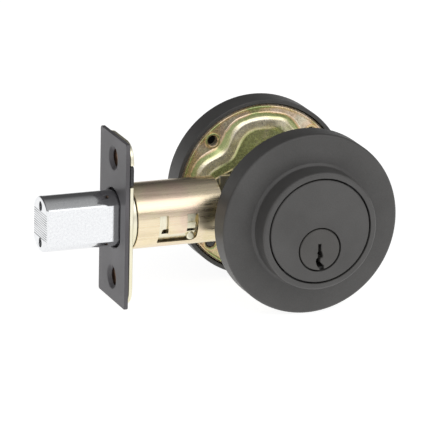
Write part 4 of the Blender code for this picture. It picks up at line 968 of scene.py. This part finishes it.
def colour_management():
    """Plain display transform, so that the pale floor stays white."""
    bpy.context.scene.view_settings.view_transform = "Standard"


def surroundings():
    """A white table to the horizon, a grey room overhead and a dark one behind, as round a softbox."""
    world = bpy.data.worlds.new("studio")
    bpy.context.scene.world = world
    world.use_nodes = True
    tree = world.node_tree
    background = tree.nodes["Background"]
    where = tree.nodes.new("ShaderNodeTexCoord").outputs["Generated"]
    towards = parted(tree, where)
    ahead = maths(tree, "MULTIPLY", towards["Y"], -1.0)
    angle = maths(tree, "ARCTAN2", towards["Z"], ahead)
    first, last = -20, 190
    over = spread(tree, angle, 0.0, 1.0, (math.radians(first), math.radians(last)))
    # Brightness by angle in degrees: 0 is the horizon in front, 90 overhead, 180 the horizon behind
    sky = [(0, 1.0), (4, 0.62), (24, 0.55), (62, 0.45), (100, 0.36), (120, 0.20), (132, 0.09), (165, 0.07),
           (173, 0.5), (180, 1.0)]
    stops = [((degrees - first) / (last - first), (level, level, level)) for degrees, level in sky]
    tree.links.new(ramp(tree, over, stops), background.inputs["Color"])
    background.inputs["Strength"].default_value = 1.0


def floor():
    """Pale plane just under the lock, bright enough to meet the horizon."""
    mesh = bpy.data.meshes.new("floor")
    half, level = 4.0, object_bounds()[0][2] - 0.5 * MM
    mesh.from_pydata([(x, y, level) for x, y in oblong(-half, half, -half, half)], [], [(0, 1, 2, 3)])
    obj = bpy.data.objects.new("floor", mesh)
    bpy.context.scene.collection.objects.link(obj)
    mat, tree, shader, where = nodes_of("pale_floor", (0.35, 0.35, 0.35), 0.8, 0.0)
    shade = ramp(tree, noise(tree, where, 4.0), [(0.0, (0.34, 0.34, 0.34)), (1.0, (0.36, 0.36, 0.36))])
    tree.links.new(shade, shader.inputs["Base Color"])
    shader.inputs["Emission Color"].default_value = (1, 1, 1, 1)
    shader.inputs["Emission Strength"].default_value = 0.9
    mesh.materials.append(mat)
    obj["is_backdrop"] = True


def stage():
    camera()
    colour_management()
    surroundings()
    floor()
    area_light("softbox", (0.30, -1.10, 1.08), (0, 0, 0), (2.2, 1.0), 10.0)


# ---------------------------------------------------------------- assembly

for name, obj in frame["nodes"].items():
    for material_slot in obj.material_slots:
        material_slot.material = MATS[SLOT_OF[name]]

exterior_rose()
interior_rose()
rose_screws()
thumbturn()
cylinder()
key_plug()
latch_bolt()
edge_plate()
backing()
guide()
latch_sleeve()
inner_sleeve()
carriage()
rivet()
mounting_plate()
for node in ("latch_case", "latch_case_cover", "link_yoke", "cylinder_plate", "crank", "pin_cover"):
    eased(node, SLOT_OF[node])
stage()
